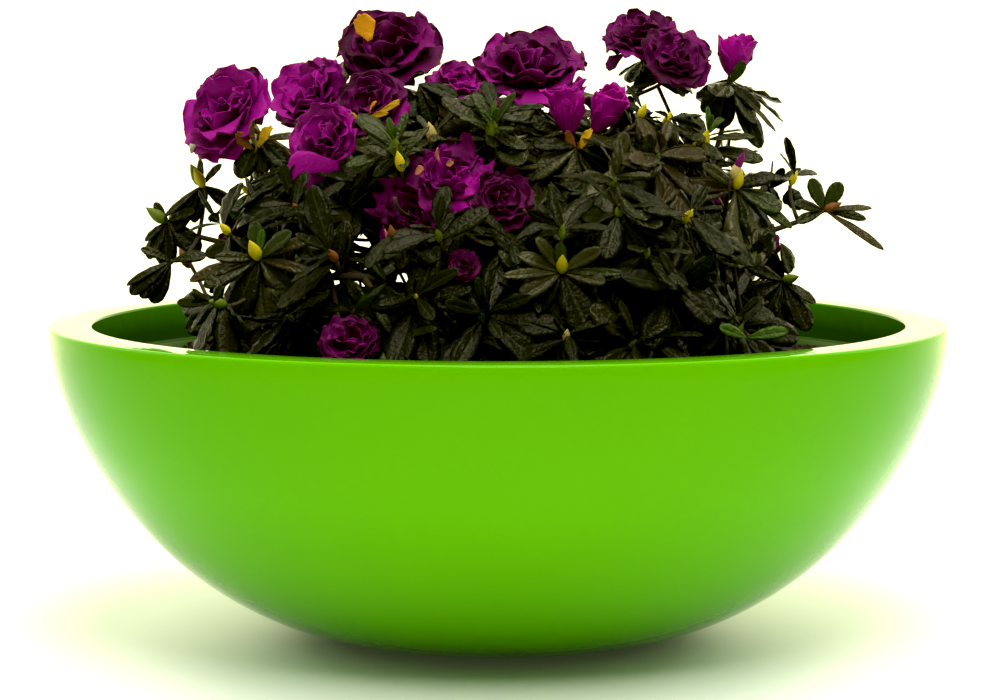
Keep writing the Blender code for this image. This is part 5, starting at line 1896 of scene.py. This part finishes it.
# How often each shade is dealt to a petal, by the tone of its flower. The bright and vivid tones are partly
# painted light, the dark and deep ones partly painted shade
PETAL_TONES = {
    "bright": ((LIGHT, 58), (PETAL, 38), (DEEP, 4)),
    "mid": ((PETAL, 62), (LIGHT, 18), (DEEP, 20)),
    "dark": ((DEEP, 56), (PETAL, 34), (WINE, 6), (LIGHT, 4)),
    "deep": ((DEEP, 66), (WINE, 24), (PETAL, 10)),
    "vivid": ((VIVID, 80), (LIGHT, 20)),
}
for (name, form, centre, width, heading, lift), turn in zip(EVERY_BLOOM, [*bloom_turns, 0.0]):
    foot = Vector(centre) - facing(heading, lift) * (BLOOM_FOOT * width + BUD_RADIUS)
    form, share, tone, heading, lift = FLOWER_LOOKS.get(tuple(centre), (form, 1.0, "mid", heading, lift))
    shades = PETAL_TONES[tone]
    heap = bloom_heaps[name]
    add_flower(heap, form, centre, facing(heading, lift), foot, width * share, turn, bloom_random, shades)

# Single petals that fell out of their rounds or withered, and bracts: foot, heading, lift, length, width,
# shade
LOOSE_PETALS = (
    ((-0.078, -0.014, 0.365), 150.0, 66.0, 0.017, 0.016, WITHERED),
    ((-0.094, -0.082, 0.292), 195.0, -8.0, 0.034, 0.024, LIGHT),
    ((-0.076, -0.062, 0.320), 300.0, 8.0, 0.019, 0.0036, GOLD),
    ((-0.079, -0.062, 0.319), 262.0, -6.0, 0.018, 0.0036, GOLD),
    ((-0.073, -0.062, 0.321), 325.0, 24.0, 0.018, 0.0032, GOLD),
    ((-0.074, -0.064, 0.318), 290.0, -18.0, 0.017, 0.0034, GOLD),
    ((-0.071, -0.062, 0.320), 345.0, 40.0, 0.016, 0.0030, GOLD),
    ((-0.081, -0.062, 0.318), 240.0, 16.0, 0.016, 0.0034, GOLD),
    ((-0.076, -0.064, 0.322), 280.0, 30.0, 0.015, 0.0030, WITHERED),
    ((-0.146, -0.036, 0.302), 250.0, 64.0, 0.018, 0.009, CALYX),
    ((-0.144, -0.038, 0.301), 310.0, 50.0, 0.017, 0.008, GOLD),
    ((-0.148, -0.038, 0.300), 215.0, 40.0, 0.016, 0.008, BROWN),
    ((-0.145, -0.040, 0.299), 270.0, 20.0, 0.014, 0.008, CALYX),
    ((0.046, -0.068, 0.300), 200.0, 60.0, 0.014, 0.006, BROWN),
    ((0.048, -0.070, 0.300), 330.0, 62.0, 0.015, 0.006, GOLD),
    ((0.047, -0.072, 0.299), 270.0, 40.0, 0.010, 0.006, BROWN),
    ((-0.182, -0.040, 0.302), 240.0, -20.0, 0.007, 0.006, CREAM),
    ((-0.048, -0.117, 0.288), 300.0, 30.0, 0.009, 0.0050, PEACH),
    ((-0.034, -0.119, 0.296), 250.0, 50.0, 0.010, 0.0050, PEACH),
    ((-0.030, -0.119, 0.294), 300.0, 10.0, 0.007, 0.0040, PEACH),
    ((-0.064, -0.119, 0.254), 260.0, -10.0, 0.009, 0.0080, PEACH),
    ((0.076, 0.004, 0.356), 215.0, -30.0, 0.016, 0.009, DEEP),
)
LOOSE_LEANS = (math.radians(-12.0), math.radians(22.0))
LOOSE_CUP = 0.12
LOOSE_FRILL = 0.07
for place, heading, lift, length, width, shade in LOOSE_PETALS:
    basis = np.array(facing(heading, lift).to_track_quat("Z", "Y").to_matrix())
    points = petal_points(0.0, (0.0, 0.0), length, width, LOOSE_LEANS, LOOSE_CUP, LOOSE_FRILL, bloom_random)
    bloom_heaps[nearest_mass(Vector(place))].add(points @ basis.T + np.array(place), PETAL_FACES, shade)
for name, heap in bloom_heaps.items():
    heap.make("blooms_" + name, petal_finishes, ["foliage_" + name], "foliage")

# %% [markdown]
# ## Buds
#
# Most whorls of the solids end in a bud. Leaf buds are small, most of them green. Flower buds that haven't
# opened are larger drops, yellow, cream, green or brown, and a few show the colour of the petals at their
# tips. A bud has no scales of its own here: it is a short tube whose width follows an outline, as at this
# size only its form and colour show.

# %% Buds
BUD_PROFILE = ((0.0, 0.50), (0.22, 0.95), (0.45, 1.0), (0.72, 0.66), (0.90, 0.28), (1.0, 0.05))
BUD_LENGTH = 0.0090
BUD_WIDTH = 0.0023
BUD_SIDES = 8
BUD_SIZES = (0.8, 1.25)
NAMED_BUD_SIZE = 1.5
BUD_WEIGHTS = ((GREEN_BUD, 60), (YELLOW_BUD, 30), (BROWN_BUD, 10))
# The bit of colour at the tip of an opening bud: how far up it starts, and its share of the width
TIP_START = 0.4
TIP_WIDTH = 0.8
BUD_GRAIN = 0.0016
BUD_GRAIN_DEPTH = 0.0004

bud_heap = Heap()
bud_random = random.Random(53)


def add_bud(centre, axis, length, width, shade):
    """Adds a pointed bud that stands on a place."""
    levels = np.array([level for level, share in BUD_PROFILE]) * length
    widths = np.array([share for level, share in BUD_PROFILE]) * width
    bud_heap.add(*tube(np.array(centre) + np.outer(levels, np.array(axis)), widths, BUD_SIDES), shade)


for kind, mass, centre, axis, *rest in sprays:
    place = np.array([centre])
    if kind in ("bloom", "bud") or beyond_sides(place) or kind == "shoot" and low_side(centre):
        continue
    size = bud_random.uniform(*BUD_SIZES) * (NAMED_BUD_SIZE if kind == "named" else 1.0)
    shade = bud_random.choices(*zip(*BUD_WEIGHTS))[0]
    in_far_gap = centre.y > FAR_HALF and fills_gap(place)
    if not in_far_gap and not hides_room(place, FLOWERS_ALONE, ROOM_VIEW["shoot"]):
        add_bud(centre, axis, BUD_LENGTH * size, BUD_WIDTH * size, shade)
for (place, length, shade), centre, axis in flower_buds:
    width = length * BUD_FATNESS
    add_bud(centre, axis, length, width, CREAM_BUD if shade == PURPLE_BUD else shade)
    if shade == PURPLE_BUD:
        add_bud(centre + axis * length * TIP_START, axis, length, width * TIP_WIDTH, PURPLE_BUD)
bud_finishes = []
for name, colour, roughness in BUD_SHADES:
    finish = Finish(name, base_color=colour, roughness=roughness, specular_ior_level=0.25)
    finish.relief(finish.noise(BUD_GRAIN, 2.0), BUD_GRAIN_DEPTH)
    bud_finishes.append(finish)
bud_heap.make("buds", bud_finishes, ["foliage_" + name for name in HUBS], "foliage")
